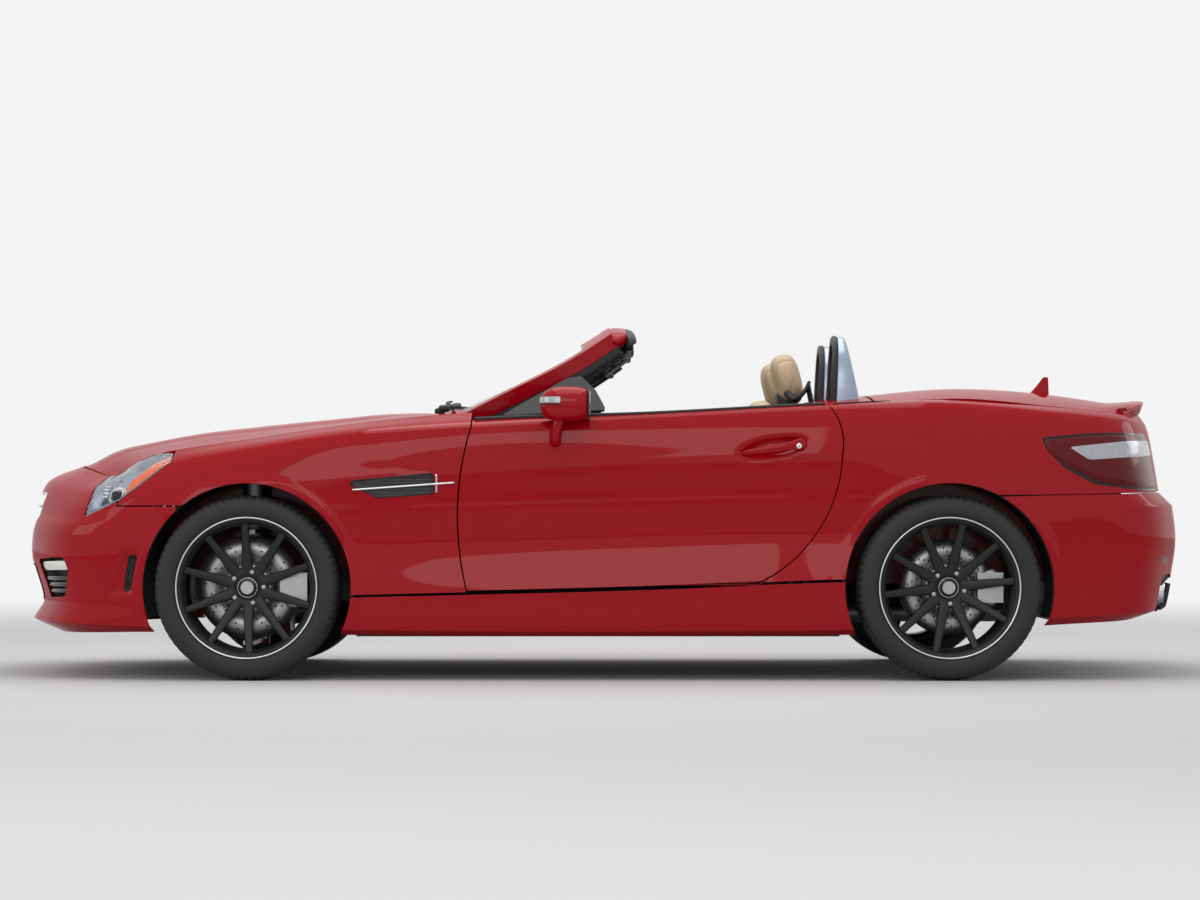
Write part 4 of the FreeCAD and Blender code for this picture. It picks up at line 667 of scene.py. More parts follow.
def bodyPanel(name, places, lines, material, side=1, keep=(), cut=(), lift=None, replaced=(), wall=0.0035, edge=0.0013, body="car_body"):
    # a panel of the skin; lift moves points out along the normal: by a number, by (level, change, low, high) where the change
    # comes in between two distances inside the outline, or by a function of the points
    p, v = np.meshgrid(places, lines, indexing="ij")
    # an outline is seen from the side, or is a pair ("end", outline)
    rules = [(*(each if isinstance(each, tuple) else ("side", each)), sign) for shapes, sign in ((keep, 1), (cut, -1))
        for each in shapes]
    kept, border, worst, target, which = trimGrid(bodyAt(p, v), rules)
    start = join(p.ravel(), v.ravel())
    for k, (view, polygon, sign) in enumerate(rules):
        chosen = np.flatnonzero(border & (which == k))
        if len(chosen):
            base = start[chosen]
            folded = np.abs(base[:, 0])
            folded = join(np.where(folded > 13, 26 - folded, folded), base[:, 1])
            moved = locate(target[chosen], view, folded)
            back = np.where(base[:, 0] > 13, 26 - moved[:, 0], moved[:, 0] * np.where(base[:, 0] < 0, -1, 1))
            near = np.abs(moved - folded).max(1) < 0.4
            start[chosen[near]] = join(back, moved[:, 1])[near]
    points = bodyAt(start[:, 0], start[:, 1], side)
    if isinstance(lift, tuple):
        level, change, low, high = lift
        lift = level + change * ramp(-worst, low, high)
    elif callable(lift):
        lift = lift(points)
    if lift is not None:
        points = points + normalAt(start[:, 0], start[:, 1], side) * np.broadcast_to(lift, len(points))[:, None]
    points, faces = keptFaces(p.shape, kept, points, side > 0)
    piece = meshPiece(name, points, faces, material, body, replaced, 0.0008)
    return finishEdges(piece, wall, edge)


def archCircle(x, grow=0.0, count=96):
    a = circle(count)
    r = (bodyShape["arch"] + grow) / 1000
    return join(x / 1000 + r * np.cos(a), bodyShape["archZ"] / 1000 + r * np.sin(a))


def grownOutline(points, by):
    # an outline moved out from its middle
    middle = points.mean(0)
    return points + np.sign(points - middle) * by / 1000


def onSkin(points, side=1, out=0.0, view="side"):
    # points in millimetres, seen from the side, nose or tail, laid on the skin and moved out of it
    points = np.array(points, float) / 1000
    if view == "side":
        hand = side
        found = locate(points)
    else:
        hand = np.where(points[:, :1] < 0, -1.0, 1.0)
        near = slice(0, 66) if view == "nose" else slice(195, 261)
        flat = coarseSkin[near][..., [1, 2]].reshape(-1, 2)
        aim = join(np.abs(points[:, 0]), points[:, 1])
        first = np.array([((flat - t) ** 2).sum(1).argmin() for t in aim])
        found = locate(aim, "end", np.stack([coarsePlace[near].ravel()[first], coarseLine[near].ravel()[first]], 1))
    out = np.broadcast_to(out, len(points))[:, None] / 1000
    place = bodyAt(found[:, 0], found[:, 1]) + normalAt(found[:, 0], found[:, 1]) * out
    place[:, 1:2] *= hand
    return place


def flatPanel(name, polygon, depth, material, side, spacing=0.01, wall=0.003, edge=0.0012, replaced=(), body="car_body"):
    # an upright panel inside an outline seen from the side; depth gives its y from x and z
    low, high = polygon.min(0), polygon.max(0)
    x, z = np.meshgrid(np.arange(low[0] - spacing, high[0] + 2 * spacing, spacing),
        np.arange(low[1] - spacing, high[1] + 2 * spacing, spacing), indexing="ij")
    kept, border, worst, target, which = trimGrid(join(x, 0.0, z), [("side", polygon, 1)])
    flat = join(x.ravel(), z.ravel())
    flat[border] = target[border]
    points = join(flat[:, 0], side * depth(flat[:, 0], flat[:, 1]), flat[:, 1])
    points, faces = keptFaces(x.shape, kept, points, side < 0)
    return finishEdges(meshPiece(name, points, faces, material, body, replaced, 0.0006), wall, edge)


frontX, rearX = bodyShape["archX"]
gap = bodyShape["gap"]
# the door's ends at the belt, and how far its lower edge stops short of the rear one, in millimetres
doorStart, doorEnd, doorCut = -460, 830, 330
doorLow = float(bodyAt(placeAt(doorEnd - doorCut, 2), 2)[2] * 1000)


def doorOutline(grow):
    a, b = doorStart - grow, doorEnd + grow
    return outline([
        (a + 14, 1080), (a + 14, 880), ((a - 33, 600), (a + 2, 296)), (a + 8, 180), (b - doorCut, 180),
        (b - doorCut, doorLow - 10 - grow),
        ((b - 92, 500), (b + 2, 780)), ((b - 6, 890), (b - 46, 957)), (b - 60, 1080), ])


lampLine = [(-1804, 565), (-1778, 668), (-1737, 716), (-1645, 752), (-1549, 790), (-1495, 790), (-1496, 760), (-1602, 677), (-1676, 625)]
lampOutline = outline(lampLine, 0.006)
lampHole = grownOutline(outline([(-1806, 563), (-1780, 668), (-1740, 716), (-1738, 800), (-1650, 860), (-1500, 880), (-1489, 790),
    (-1494, 757), (-1602, 674), (-1676, 622)], 0.004), 1.5)
grilleOutline = outline([(-355, 650), (355, 650), (402, 560), (335, 452), (-335, 452), (-402, 560)], 0.03)
lowIntake = outline([(-440, 395), (440, 395), (400, 272), (-400, 272)], 0.02)
sideIntake = outline([(520, 415), (745, 425), (752, 372), (700, 285), (540, 280)], 0.02)
# where the front bumper meets the fender
bumperTop = 603

ventOutline = outline([(-863, 690), (-580, 716), (-578, 646), (-772, 631), (-866, 676)], 0.007)
handleShape = {"middle": (594, 806), "half": (124, 37), "deep": 13, "tilt": 0.16}
recessOutline = outline([(-1706, 290), (-1662, 441), (-1600, 446), (-1628, 300)], 0.012)
slotOutline = outline([(-1662, 304), (-1640, 432), (-1609, 434), (-1632, 310)], 0.006)


def handleDip(p):
    # a shallow dish behind the door handle, an ellipse leaning with the belt
    x, z = (p[:, 0] * 1000 - handleShape["middle"][0]), (p[:, 2] * 1000 - handleShape["middle"][1])
    r = (x / handleShape["half"][0]) ** 2 + ((z - handleShape["tilt"] * x) / handleShape["half"][1]) ** 2
    return -handleShape["deep"] / 1000 * (1 - ramp(r, 0.35, 1.1))


def bumperDip(p):
    return -0.011 * ramp(-distanceTo(p[:, [0, 2]], recessOutline)[0], 0.0, 0.01)


for word, side in sides:
    door = "door_" + word
    lines = samples(2.03, 8, place=5)
    bodyPanel(
        "front_fender_" + word, span(-1684, -430, 4), lines, redPaint, side,
        cut=[archCircle(frontX), doorOutline(gap), lampHole, ventOutline,
        outline([(-1900, 0), (frontX, 0), (frontX, bumperTop + gap / 2), (-1900, bumperTop + gap / 2)])],
        replaced=("front_fenders",))
    bodyPanel(
        "door_skin_" + word, span(-510, 845, 4), samples(2.06, 7.3, place=7), redPaint, side,
        keep=[doorOutline(0)], lift=handleDip, replaced=(door,), body=door)
    bodyPanel(
        "quarter_panel_" + word, np.concatenate([samples(placeAt(455, 3), 10, line=3), samples(10, 13, line=5)[1:]]),
        samples(2.03, 8, place=9), redPaint, side,
        cut=[archCircle(rearX), doorOutline(gap),
        outline([(rearX, 0), (2100, 0), (2100, 655), (1900, 650), (1580, 643), (rearX, 640)]),
        ("end", outline([(0, 0), (545, 0), (545, 1200), (0, 1200)]))],
        replaced=("quarter_panels",))
    bodyPanel(
        "side_sill_" + word, span(-900, 900, 2), samples(0, 1.97, place=7), redPaint, side,
        cut=[archCircle(frontX), archCircle(rearX)], replaced=("side_sills",))


def bothSides(places):
    # places from the nose on, with the same ones on the left before them
    return np.concatenate([-places[:0:-1], places])


noseReach = placeAt(-1430, 4)
noseSteps = samples(0, noseReach, line=4)
bodyPanel(
    "front_bumper_skin", bothSides(noseSteps), samples(0, 8, place=0.5), redPaint, 1,
    cut=[archCircle(frontX), lampHole, ("end", grilleOutline), ("end", lowIntake), ("end", sideIntake), slotOutline,
    outline([(-1684, bumperTop - gap / 2), (-1200, bumperTop - gap / 2), (-1200, 1000), (-1684, 1000)])],
    lift=bumperDip, replaced=("front_bumper",))
tailReach = placeAt(1365, 4)
tailSteps = samples(tailReach, 13, line=4)
bothTails = np.concatenate([tailSteps, 26 - tailSteps[-2::-1]])
bodyPanel(
    "rear_bumper_skin", bothTails, samples(0, 5, place=12.5), redPaint, 1,
    cut=[archCircle(rearX),
    ("end", outline([(-10, 345), (470, 345), (490, 362), (625, 362), (652, 330), (655, 250), (640, 100), (-10, 100)], 0.012))],
    replaced=("rear_bumper",))
print("body skin made")

# Bonnet, boot lid and decks: sheets crowned across the car. Rows are x, centre height, and the height 760 mm out.
sheets = {
    "front": [(-1950, 740, 640), (-1800, 778, 672), (-1560, 835, 776), (-1225, 886, 833), (-850, 928, 889), (-525, 958, 915)],
    "rear": [(670, 975, 955), (940, 1005, 964), (1285, 1034, 977), (1580, 1020, 945), (1800, 990, 915), (1940, 966, 890)],
    "bonnetEnd": 5.8, "corner": 2, "ridge": 6, "inset": 10, "lidFront": 960, "lidCorner": 11.25, "lipReach": 38, "lipHeight": 990, }


def sheetHeight(rows, x, y):
    # a parabola across the car between the height on the centre line and the height 760 mm out
    heights = curveAt(np.array(rows) / 1000, x)
    return heights[..., 0] - (heights[..., 0] - heights[..., 1]) * (y / 0.76) ** 2


def rimCurve(places, inset):
    # the innermost body line seen from above, moved towards the middle of the car
    e = 1e-3
    p = bodyAt(places, 8)[:, :2]
    ahead = unit(bodyAt(places + e, 8)[:, :2] - bodyAt(places - e, 8)[:, :2])
    return p + join(ahead[:, 1], -ahead[:, 0]) * inset / 1000


def bonnetEdge(places):
    # plan of the bonnet's edge and how far the body line there lies above the bonnet's own sheet
    plan = rimCurve(places, sheets["inset"])
    return np.column_stack([plan, bodyAt(places, 8)[:, 2] + 0.0005 - sheetHeight(sheets["front"], plan[:, 0], plan[:, 1])])


end, corner = sheets["bonnetEnd"], sheets["corner"]
front, left, right = (bonnetEdge(np.linspace(*ends, 141)) for ends in ((-corner, corner), (-corner, -end), (corner, end)))
y = np.linspace(left[-1, 1], right[-1, 1], 141)
share = (y / right[-1, 1]) ** 2
plan = coons(front, join(right[-1, 0] - 0.162 * (1 - share), y, right[-1, 2] * share**2), left, right)
x, y = plan[..., 0], plan[..., 1]
crest = 0.3 + (x + 1.85) / 1.15 * 0.2
bulge = (1 - ramp(np.abs(y), crest - 0.05, crest + 0.04)) * ramp(x, -1.92, -1.7) * (1 - ramp(x, -0.85, -0.65))
bonnet = join(x, y, sheetHeight(sheets["front"], x, y) + plan[..., 2] + bulge * sheets["ridge"] / 1000)
gridPiece("bonnet_skin", bonnet, redPaint, ("bonnet",), flip=True, wall=0.012, edge=0.003, merge=0.0005, body="bonnet")

lidPlace = placeAt(sheets["lidFront"], 8)
corner = sheets["lidCorner"]
right = rimCurve(np.linspace(lidPlace, corner, 121), 8)
left = rimCurve(np.linspace(26 - lidPlace, 26 - corner, 121), 8)
back = rimCurve(np.linspace(corner, 26 - corner, 141), 8)
back[:, 0] += sheets["lipReach"] / 1000 * (1 - ramp(np.abs(back[:, 1]), 0.48, 0.66))
y = np.linspace(right[0, 1], left[0, 1], 141)
plan = coons(join(right[0, 0], y), back, right, left)
x, y = plan[..., 0], plan[..., 1]
order = np.argsort(back[:, 1])
tip = np.interp(y, back[order, 1], back[order, 0])
lipRise = (sheets["lipHeight"] / 1000 - 0.966) * (1 - ramp(np.abs(y), 0.4, 0.66)) * ramp(x, tip - 0.16, tip) ** 1.3
lid = join(x, y, sheetHeight(sheets["rear"], x, y) + lipRise)
gridPiece("boot_lid_skin", lid, redPaint, ("boot_lid",), wall=0.008, edge=0.003, merge=0.0005, body="boot_lid")
inner = np.abs(back[:, 1]) < 0.6
lipEdge = lid[inner, -1] - [0.001, 0, 0.003]
faceTop = bodyAt(np.linspace(corner, 26 - corner, 141)[inner], 7.75)
t = np.linspace(0, 1, 12)[None, :, None]
under = lipEdge[:, None] * (1 - t) + faceTop[:, None] * t
under[..., 2] -= 0.012 * np.sin(np.pi * t[..., 0]) ** 0.6
gridPiece("boot_lip_underside", under, redPaint, wall=0.003, body="boot_lid")
bodyPanel("boot_face", samples(11.6, 14.4, line=6, spacing=0.012), samples(5.06, 8, place=12.5), redPaint, 1,
    keep=[("end", outline([(-10, 600), (541, 600), (541, 1100), (-10, 1100)]))], body="boot_lid")

deckPlace = placeAt(745, 8)
right = rimCurve(np.linspace(deckPlace, lidPlace - 0.02, 24), 8)
left = right * [1, -1]
y = np.linspace(right[0, 1], left[0, 1], 81)
plan = coons(join(right[0, 0], y), join(right[-1, 0], y), right, left)
x, y = plan[..., 0], plan[..., 1]
gridPiece("rear_deck_skin", join(x, y, sheetHeight(sheets["rear"], x, y)), redPaint, ("rear_deck",), wall=0.008, edge=0.003)

finShape = {"x": (1553, 1662), "base": 1016, "top": 1081, "half": 13}
t = np.linspace(0, 1, 20)[:, None]
front = (finShape["x"][0] + (finShape["x"][1] - 22 - finShape["x"][0]) * t ** 0.75)
rear = finShape["x"][1] - 4 * t
turn = circle(24)[None, :]
x = (front + rear) / 2 + (rear - front) / 2 * np.cos(turn)
y = finShape["half"] * (1 - 0.8 * t) * np.sin(turn)
z = finShape["base"] - 22 + (finShape["top"] - finShape["base"] + 22) * t
gridPiece("antenna_fin", join(x, y, z) / 1000, redPaint, caps=True, edge=0.002, body="boot_lid")

# Windscreen: a surface bowed forwards. Rows are height, x at its sides, half width, and how far the middle is ahead.
screen = {
    "rows": [(895, -540, 698, 140), (985, -367, 674, 125), (1112, -120, 622, 100), (1209, 28, 573, 80), (1275, 118, 538, 66)],
    "outer": [(-900, 900), (-900, 1150), (-562, 1216), ((0, 1260), (562, 1216)), (900, 1150), (900, 900),
    ((0, 924), (-900, 900))],
    "opening": [(-636, 940), (-530, 1164), ((0, 1196), (530, 1164)), (636, 940), ((0, 954), (-636, 940))],
    "frame": 0.052, "glass": 0.005, "setBack": 0.016, }


def screenRow(z):
    return curveAt(np.array(screen["rows"]) / 1000, z)


def screenAt(y, z, depth=0.0):
    # the windscreen's surface, moved in by a depth
    row = screenRow(z)
    p = join(row[..., 0] - row[..., 2] * (1 - (y / row[..., 1]) ** 2), y, z)
    if depth:
        e = 1e-3
        n = np.cross(screenAt(y + e, z) - screenAt(y - e, z), screenAt(y, z + e) - screenAt(y, z - e))
        p = p + unit(n) * depth
    return p


def screenPanel(name, keep, cut, material, replaced, depth, wall, edge, segments=2, spacing=0.01, body="car_body"):
    z = np.arange(0.897, 1.272, spacing * 0.6)
    s = np.linspace(-1, 1, int(1.36 / spacing))
    s, z = np.meshgrid(s, z, indexing="ij")
    y = s * screenRow(z)[..., 1]
    rules = [("front", polygon, 1) for polygon in keep] + [("front", polygon, -1) for polygon in cut]
    flatGrid = join(0.0, y, z)
    kept, border, worst, target, which = trimGrid(flatGrid, rules)
    flat = join(y.ravel(), z.ravel())
    flat[border] = target[border]
    points, faces = keptFaces(y.shape, kept, screenAt(flat[:, 0], flat[:, 1], depth), True)
    piece = meshPiece(name, points, faces, material, body, replaced, 0.0008)
    return finishEdges(piece, wall, edge, segments)


screenOuter, screenOpening = outline(screen["outer"]), outline(screen["opening"], 0.045)
screenPanel("windscreen_frame_skin", [screenOuter], [screenOpening], redPaint, ("windscreen_frame",), 0, screen["frame"], 0.014, 4)
screenPanel("windscreen_pane", [grownOutline(screenOpening, 6)], [], glass, ("windscreen_glass",), screen["setBack"],
    screen["glass"], 0)

# Headlamps, tail lamps and grilles.
lampSteps = samples(1.6, placeAt(-1480, 8), line=7, spacing=0.006)
lampRows = samples(4.2, 8, place=2.6, spacing=0.006)
amberPatch = outline([(-1668, 628), (-1600, 674), (-1496, 758), (-1497, 784), (-1560, 752), (-1640, 690)], 0.006)
for word, side in sides:
    for name, material, form, lift, replaced, wall, edge in (
            ("lens", lampGlass, lampOutline, None, ("headlamps",), 0.002, 0.0008),
            ("bowl", lampChrome, grownOutline(lampOutline, -1), (-0.003, -0.045, 0, 0.045), (), 0.0015, 0),
            ("amber", amber, amberPatch, -0.006, (), 0.003, 0.001)):
        bodyPanel(f"headlamp_{name}_{word}", lampSteps, lampRows, material, side, [form], (), lift, replaced, wall, edge)
lampInside = {"projector": (-1697, 648), "fins": (683, 670, 657, 644), "finX": -1738,
    "strip": [(-1722, 712), (-1640, 744), (-1552, 782)]}
for word, side in sides:
    spot = [lampInside["projector"]]
    lumpPiece("projector_lens_" + word, onSkin(spot, side, -23)[0], (0.046, 0.046, 0.046), glossBlack, 2)
    for number, (wide, away) in enumerate(((0.027, -17), (0.034, -24))):
        centre = onSkin(spot, side, away)[0]
        way = normalAt(*locate(np.array(spot) / 1000)[0], side)
        flank = unit(np.cross(way, [0, 0, 1.0]))
        a = circle(40)[:, None]
        ringTube(f"projector_ring_{word}_{number}", centre + wide * (np.cos(a) * flank + np.sin(a) * np.cross(flank, way)),
            (0.006, 0.006, 2, 10), chrome, way)
    for number, height in enumerate(lampInside["fins"]):
        lumpPiece(f"lamp_fin_{word}_{number}", onSkin([(lampInside["finX"] + 0.12 * (height - 664), height)], side, -16)[0],
            (0.022, 0.024, 0.006), chrome, 5, rows=9, columns=16)
    tube("lamp_strip_" + word, onSkin(lampInside["strip"], side, -12), (0.008, 0.006, 3, 12), lampWhite, (0, side, 0), 40)
tailOutline = outline([(1530, 836), (1700, 852), (1980, 856), (2060, 700), (2060, 662), (1900, 660), (1715, 682), (1618, 733),
    (1546, 790)], 0.012)
tailSteps6 = samples(placeAt(1510, 6), 13, line=6, spacing=0.007)
tailRows = samples(4.95, 7.4, place=10.5, spacing=0.007)
tailInsert = outline([(1620, 806), (1830, 828), (1990, 836), (2010, 790), (1900, 776), (1690, 762)], 0.01)
notFace = ("end", outline([(0, 0), (549, 0), (549, 1200), (0, 1200)]))
for word, side in sides:
    for name, material, form, lift, replaced, edge in (
            ("rim", glossBlack, grownOutline(tailOutline, 4), 0.0012, ("tail_lamps",), 0.0008),
            ("lens", tailRed, grownOutline(tailOutline, -4), (0.0015, 0.0035, 0, 0.02), (), 0),
            ("clear", tailClear, tailInsert, (0.006, 0.001, 0, 0.01), (), 0.0008)):
        bodyPanel(f"tail_lamp_{name}_{word}", tailSteps6, tailRows, material, side, [form], [notFace], lift, replaced, 0.003, edge)

noseFront = bothSides(samples(0, 2.4, line=4))
noseRows = samples(1, 8, place=0.5)
for name, hole, material, depth in (("grille_mesh", grilleOutline, meshBlack, 0.03),
        ("low_intake_mesh", lowIntake, meshBlack, 0.028),
        ("side_intake_back", sideIntake, blackPlastic, 0.035)):
    bodyPanel(name, noseFront, noseRows, material, 1, keep=[("end", grownOutline(hole, 10))],
        lift=(-0.004, -depth, 0, 0.012), replaced=("front_grilles",), wall=0.002, edge=0)
print("sheets, windscreen and lamps made")

# Trim of the sides: fender vent, door handle, belt strips, and the recess and slot of the front bumper.
trimShape = {"lock": (684, 809)}
for word, side in sides:
    door = "door_" + word
    bodyPanel("vent_mesh_" + word, span(-900, -540, 5), samples(5, 7, place=5.2), meshBlack, side,
        keep=[grownOutline(ventOutline, 6)], lift=(-0.0045, -0.012, 0.002, 0.01), wall=0.002, edge=0)
    ringTube("vent_edge_" + word, onSkin(resample(ventOutline, 120) * 1000, side, 0.3), (0.004, 0.004, 2, 8), glossBlack, (0, side, 0))
    bar = onSkin(join(np.linspace(-858, -506, 40), np.linspace(659, 684, 40)), side, 2)
    tube("vent_bar_" + word, bar, (0.0065, 0.006, 3, 12), chrome, (0, side, 0), 40)
    tube("vent_end_" + word, onSkin([(-569, 650), (-568, 680), (-569, 712)], side, 1), (0.007, 0.005, 3, 12), chrome, (0, side, 0), 16)
    grip = [(486, 786, -1), (520, 790, 7), (560, 795, 12), (610, 802, 14), (660, 811, 13), (700, 820, 6), (711, 823, -2)]
    grip = onSkin([each[:2] for each in grip], side, [each[2] for each in grip])
    t = np.linspace(0, 1, 60)
    size = join(0.45 + 0.75 * t ** 0.7 + 0.25 * ramp(t, 0.75, 0.95), 0.75 + 0.35 * t)
    size *= np.sqrt(np.clip(1 - np.abs(2 * t - 1) ** 14, 0.03, 1))[:, None]
    tube("door_handle_" + word, grip, (0.028, 0.012, 2.6, 24), redPaint, (0, side, 0), 60, size, body=door)
    spot = onSkin([trimShape["lock"]], side, 10)[0]
    roundPiece("door_lock_" + word, lathe([(0.013, 0.0001), (0.013, 0.0085), (0.011, 0.01), (-0.002, 0.01)], spot, side, 32),
        chrome, closed=False, body=door)
    # the keyhole: a small black disc, painted shade of the slot
    keyhole = lathe([(0.0138, 0.0001), (0.0138, 0.0026), (0.012, 0.003)], spot, side, 16)
    roundPiece("key_hole_" + word, keyhole, blackPlastic, closed=False, body=door)
    belt = bodyAt(span(-438, 778, 7, spacing=0.02), 7.34, side) + [0, 0, 0.002]
    tube("belt_strip_" + word, belt, (0.026, 0.013, 3.5, 20), blackPlastic, count=80, body=door)
    behind = bodyAt(span(815, 1010, 8, spacing=0.02), 7.97, side) + [0, 0, 0.002]
    tube("belt_end_" + word, behind, (0.02, 0.008, 3.5, 16), blackPlastic, (0, 0, 1), 30, np.linspace(1, 0.25, 30))
    bodyPanel("bumper_slot_" + word, span(-1700, -1570, 3), samples(2, 4, place=3, spacing=0.006), blackPlastic, side,
        keep=[grownOutline(slotOutline, 4)], lift=(-0.012, -0.018, 0.003, 0.01), wall=0.002, edge=0)

# Door mirrors: a cut ellipsoid on an arm, the indicator a band of the same surface a little larger.
mirrorShape = {"at": (-112, 918, 953), "half": (96, 79, 62), "cut": -42, "power": 2.7}
for word, side in sides:
    door = "door_" + word
    centre = np.array(mirrorShape["at"]) / 1000 * [1, side, 1]
    half = np.array(mirrorShape["half"]) / 1000
    house = lump(centre, 2 * half, mirrorShape["power"], 41, 72)
    # the lower half is squarer, and the outer end droops less than the inner one
    house[..., 2] = np.where(house[..., 2] < centre[2], centre[2] + (house[..., 2] - centre[2])
        * (0.94 - 0.8 * (house[..., 0] - centre[0])), house[..., 2])
    house[..., 0] = np.minimum(house[..., 0], mirrorShape["cut"] / 1000)
    ballPiece("mirror_shell_" + word, house, redPaint, ("mirror_" + word,), edge=0.003, segments=3, body=door)
    frameRing = lump(centre + [0.0695, 0, 0.001], (0.01, 0.15, 0.112), 3.2, 21, 48)
    ballPiece("mirror_rim_" + word, frameRing, blackPlastic, body=door)
    lumpPiece("mirror_glass_" + word, centre + [0.0742, 0, 0.001], (0.004, 0.132, 0.094), chrome, 3.2, body=door)
    band = roundedBlock(np.radians(np.linspace(1, 16, 7)), np.radians(np.linspace(100, 196, 41)), mirrorShape["power"])
    band = centre + band * [1, side, 1] * (half + 0.0012)
    gridPiece("mirror_indicator_" + word, band, tailClear, flip=side < 0, wall=0.004, edge=0.0012, body=door)
    tube("mirror_seam_" + word, band[0] + [0, 0, -0.004], (0.003, 0.003, 2, 8), blackPlastic, count=40, body=door)
    foot = onSkin([(-158, 842)], side, -6)[0]
    arm = [foot, foot + [0.002, side * 0.022, 0.014], foot + [0.012, side * 0.036, 0.05], centre + [-0.02, -side * 0.012, -0.035]]
    tube("mirror_arm_" + word, arm, oval(0.04, 0.078, 2.6, 28)[:, ::-1], redPaint, (1, 0, 0), 30,
         join(np.linspace(1.05, 0.95, 30), np.linspace(1.1, 0.8, 30)), body=door)

# Black sail at the front of each side window, and the seals under the windscreen's frame.
sealShape = {"sail": [(-350, 911), (-122, 1046), (-70, 1056), (-18, 1004), (20, 932)], "lean": 0.84, "foot": 780}
for word, side in sides:
    leaning = lambda x, z: sealShape["foot"] / 1000 - (z - 0.9) * sealShape["lean"]
    flatPanel("window_sail_" + word, outline(sealShape["sail"], 0.006), leaning, blackPlastic, side, 0.008, 0.01, 0.003)
    z = np.linspace(0.915, 1.215, 40)
    y = side * (screenRow(z)[:, 1] - 0.022)
    tube("pillar_seal_" + word, screenAt(y, z, 0.066), (0.04, 0.046, 3, 20), blackPlastic, count=60)
    tube("pillar_trim_" + word, screenAt(y - side * 0.014, z, 0.092), (0.03, 0.02, 2.6, 16), blackPlastic, count=60)
y = np.linspace(-0.562, 0.562, 60)
top = 1.234 - 0.036 * (y / 0.562) ** 2
tube("header_seal", screenAt(y, top, 0.062), (0.06, 0.044, 3, 20), blackPlastic, count=60)
tube("header_trim", screenAt(y * 0.97, top - 0.012, 0.096), (0.034, 0.022, 2.6, 16), blackPlastic, count=60)
tube("header_lip", screenAt(y * 0.99, top + 0.012, 0.088), (0.016, 0.012, 2.6, 12), rubber, count=60)
headerShape = {"red": [(-14, -8), (4, 5), (40, 12), (76, 10), (84, -2), (82, -26), (60, -46), (10, -46), (-10, -30)],
    "black": [(76, 9), (98, 4), (112, -8), (115, -26), (100, -30), (103, -50), (86, -58), (70, -44), (72, -10)]}
y = np.linspace(-0.574, 0.574, 81)
base = screenAt(y, 1.247 - 0.046 * (y / 0.574) ** 2)
ends = np.sqrt(np.clip(1 - np.abs(y / 0.5742) ** 24, 0.02, 1))[:, None]
for name, material in (("red", redPaint), ("black", blackPlastic)):
    form = outline(headerShape[name], 0.007)
    middle = form.mean(0)
    form = middle + (form[None] - middle) * ends[..., None]
    gridPiece("header_" + name, join(base[:, None, 0] + form[..., 0], y[:, None], base[:, None, 2] + form[..., 1]), material, caps=True)
visor = {"at": (0.06, 0.285, 1.13), "size": (0.012, 0.37, 0.11)}
for word, side in sides:
    lumpPiece("sun_visor_" + word, np.array(visor["at"]) * [1, side, 1], visor["size"], blackLeather, 5, tilt=54)
insideMirror = {"at": (-0.055, 0, 1.128), "size": (0.03, 0.235, 0.062)}
lumpPiece("inside_mirror", insideMirror["at"], insideMirror["size"], blackPlastic, 4)
lumpPiece("inside_mirror_glass", np.array(insideMirror["at"]) + [0.0138, 0, 0], (0.004, 0.216, 0.048), chrome, 4)
tube("inside_mirror_stalk", [(-0.06, 0, 1.15), (-0.05, 0, 1.178), (-0.03, 0, 1.205)], (0.022, 0.016, 2.4, 14), blackPlastic,
    (0, 1, 0), 16)

# Wipers at rest along the foot of the windscreen.
wiperShape = {"pivots": (-0.44, 0.12), "reach": 0.52}
for word, pivot in zip(("left", "right"), wiperShape["pivots"]):
    y = np.linspace(pivot, pivot + wiperShape["reach"], 24)
    z = 0.934 + 0.02 * (y - pivot) / wiperShape["reach"] + 0.012 * (1 - (y / 0.66) ** 2)
    arm = screenAt(y[2:20], z[2:20], -0.03)
    foot = screenAt(y[:1], z[:1] - 0.01, -0.024)[0]
    tube("wiper_arm_" + word, np.vstack([foot, arm]), (0.014, 0.008, 3, 12), blackPlastic, (-0.5, 0, 1), 40,
        np.linspace(1.3, 0.7, 40))
    tube("wiper_blade_" + word, screenAt(y + 0.02, z + 0.004, -0.012), (0.01, 0.016, 3, 12), blackPlastic, (-0.5, 0, 1), 40)
    lumpPiece("wiper_pivot_" + word, foot, (0.04, 0.04, 0.026), blackPlastic, 3)
print("side trim, mirrors and seals made")

# Front: chrome edge and blades of the grille, day lamps with slats, and the lower intake's frame.
frontTrim = {"lens": [(534, 404), (735, 411), (741, 378), (528, 372)], "slats": (346, 324, 302)}
for name, hole, out, material in (("grille_edge", grilleOutline, -3.2, chrome), ("low_intake_edge", lowIntake, -0.5, glossBlack)):
    ringTube(name, onSkin(resample(hole, 160) * 1000, 1, out, "nose"), (0.009, 0.008, 2.4, 12), material, (-1, 0, 0))
for height, half, wide in ((556, 388, 0.02), (507, 356, 0.007), (605, 362, 0.007)):
    y = np.linspace(-half, half, 61)
    main = wide > 0.01
    tube(f"grille_blade_{height}", onSkin(join(y, height), 1, -9, "nose"), (0.012, wide, 3, 16) if main
        else oval(wide, 0.012, 3, 16)[:, ::-1],
         chrome if main else glossBlack, count=61)
for x in (-250, -125, 0, 125, 250):
    z = np.linspace(282, 388, 12)
    tube(f"low_intake_rib_{x}", onSkin(join(x, z), 1, -10, "nose"), (0.01, 0.01, 3, 12), blackPlastic, (-1, 0, 0), 12)
bodyPanel("day_lamps", noseFront, samples(1, 8, place=0.5, spacing=0.006), lampWhite, 1,
    keep=[("end", outline(frontTrim["lens"], 0.008))],
    lift=(-0.01, 0.003, 0, 0.012), wall=0.008, edge=0.001)
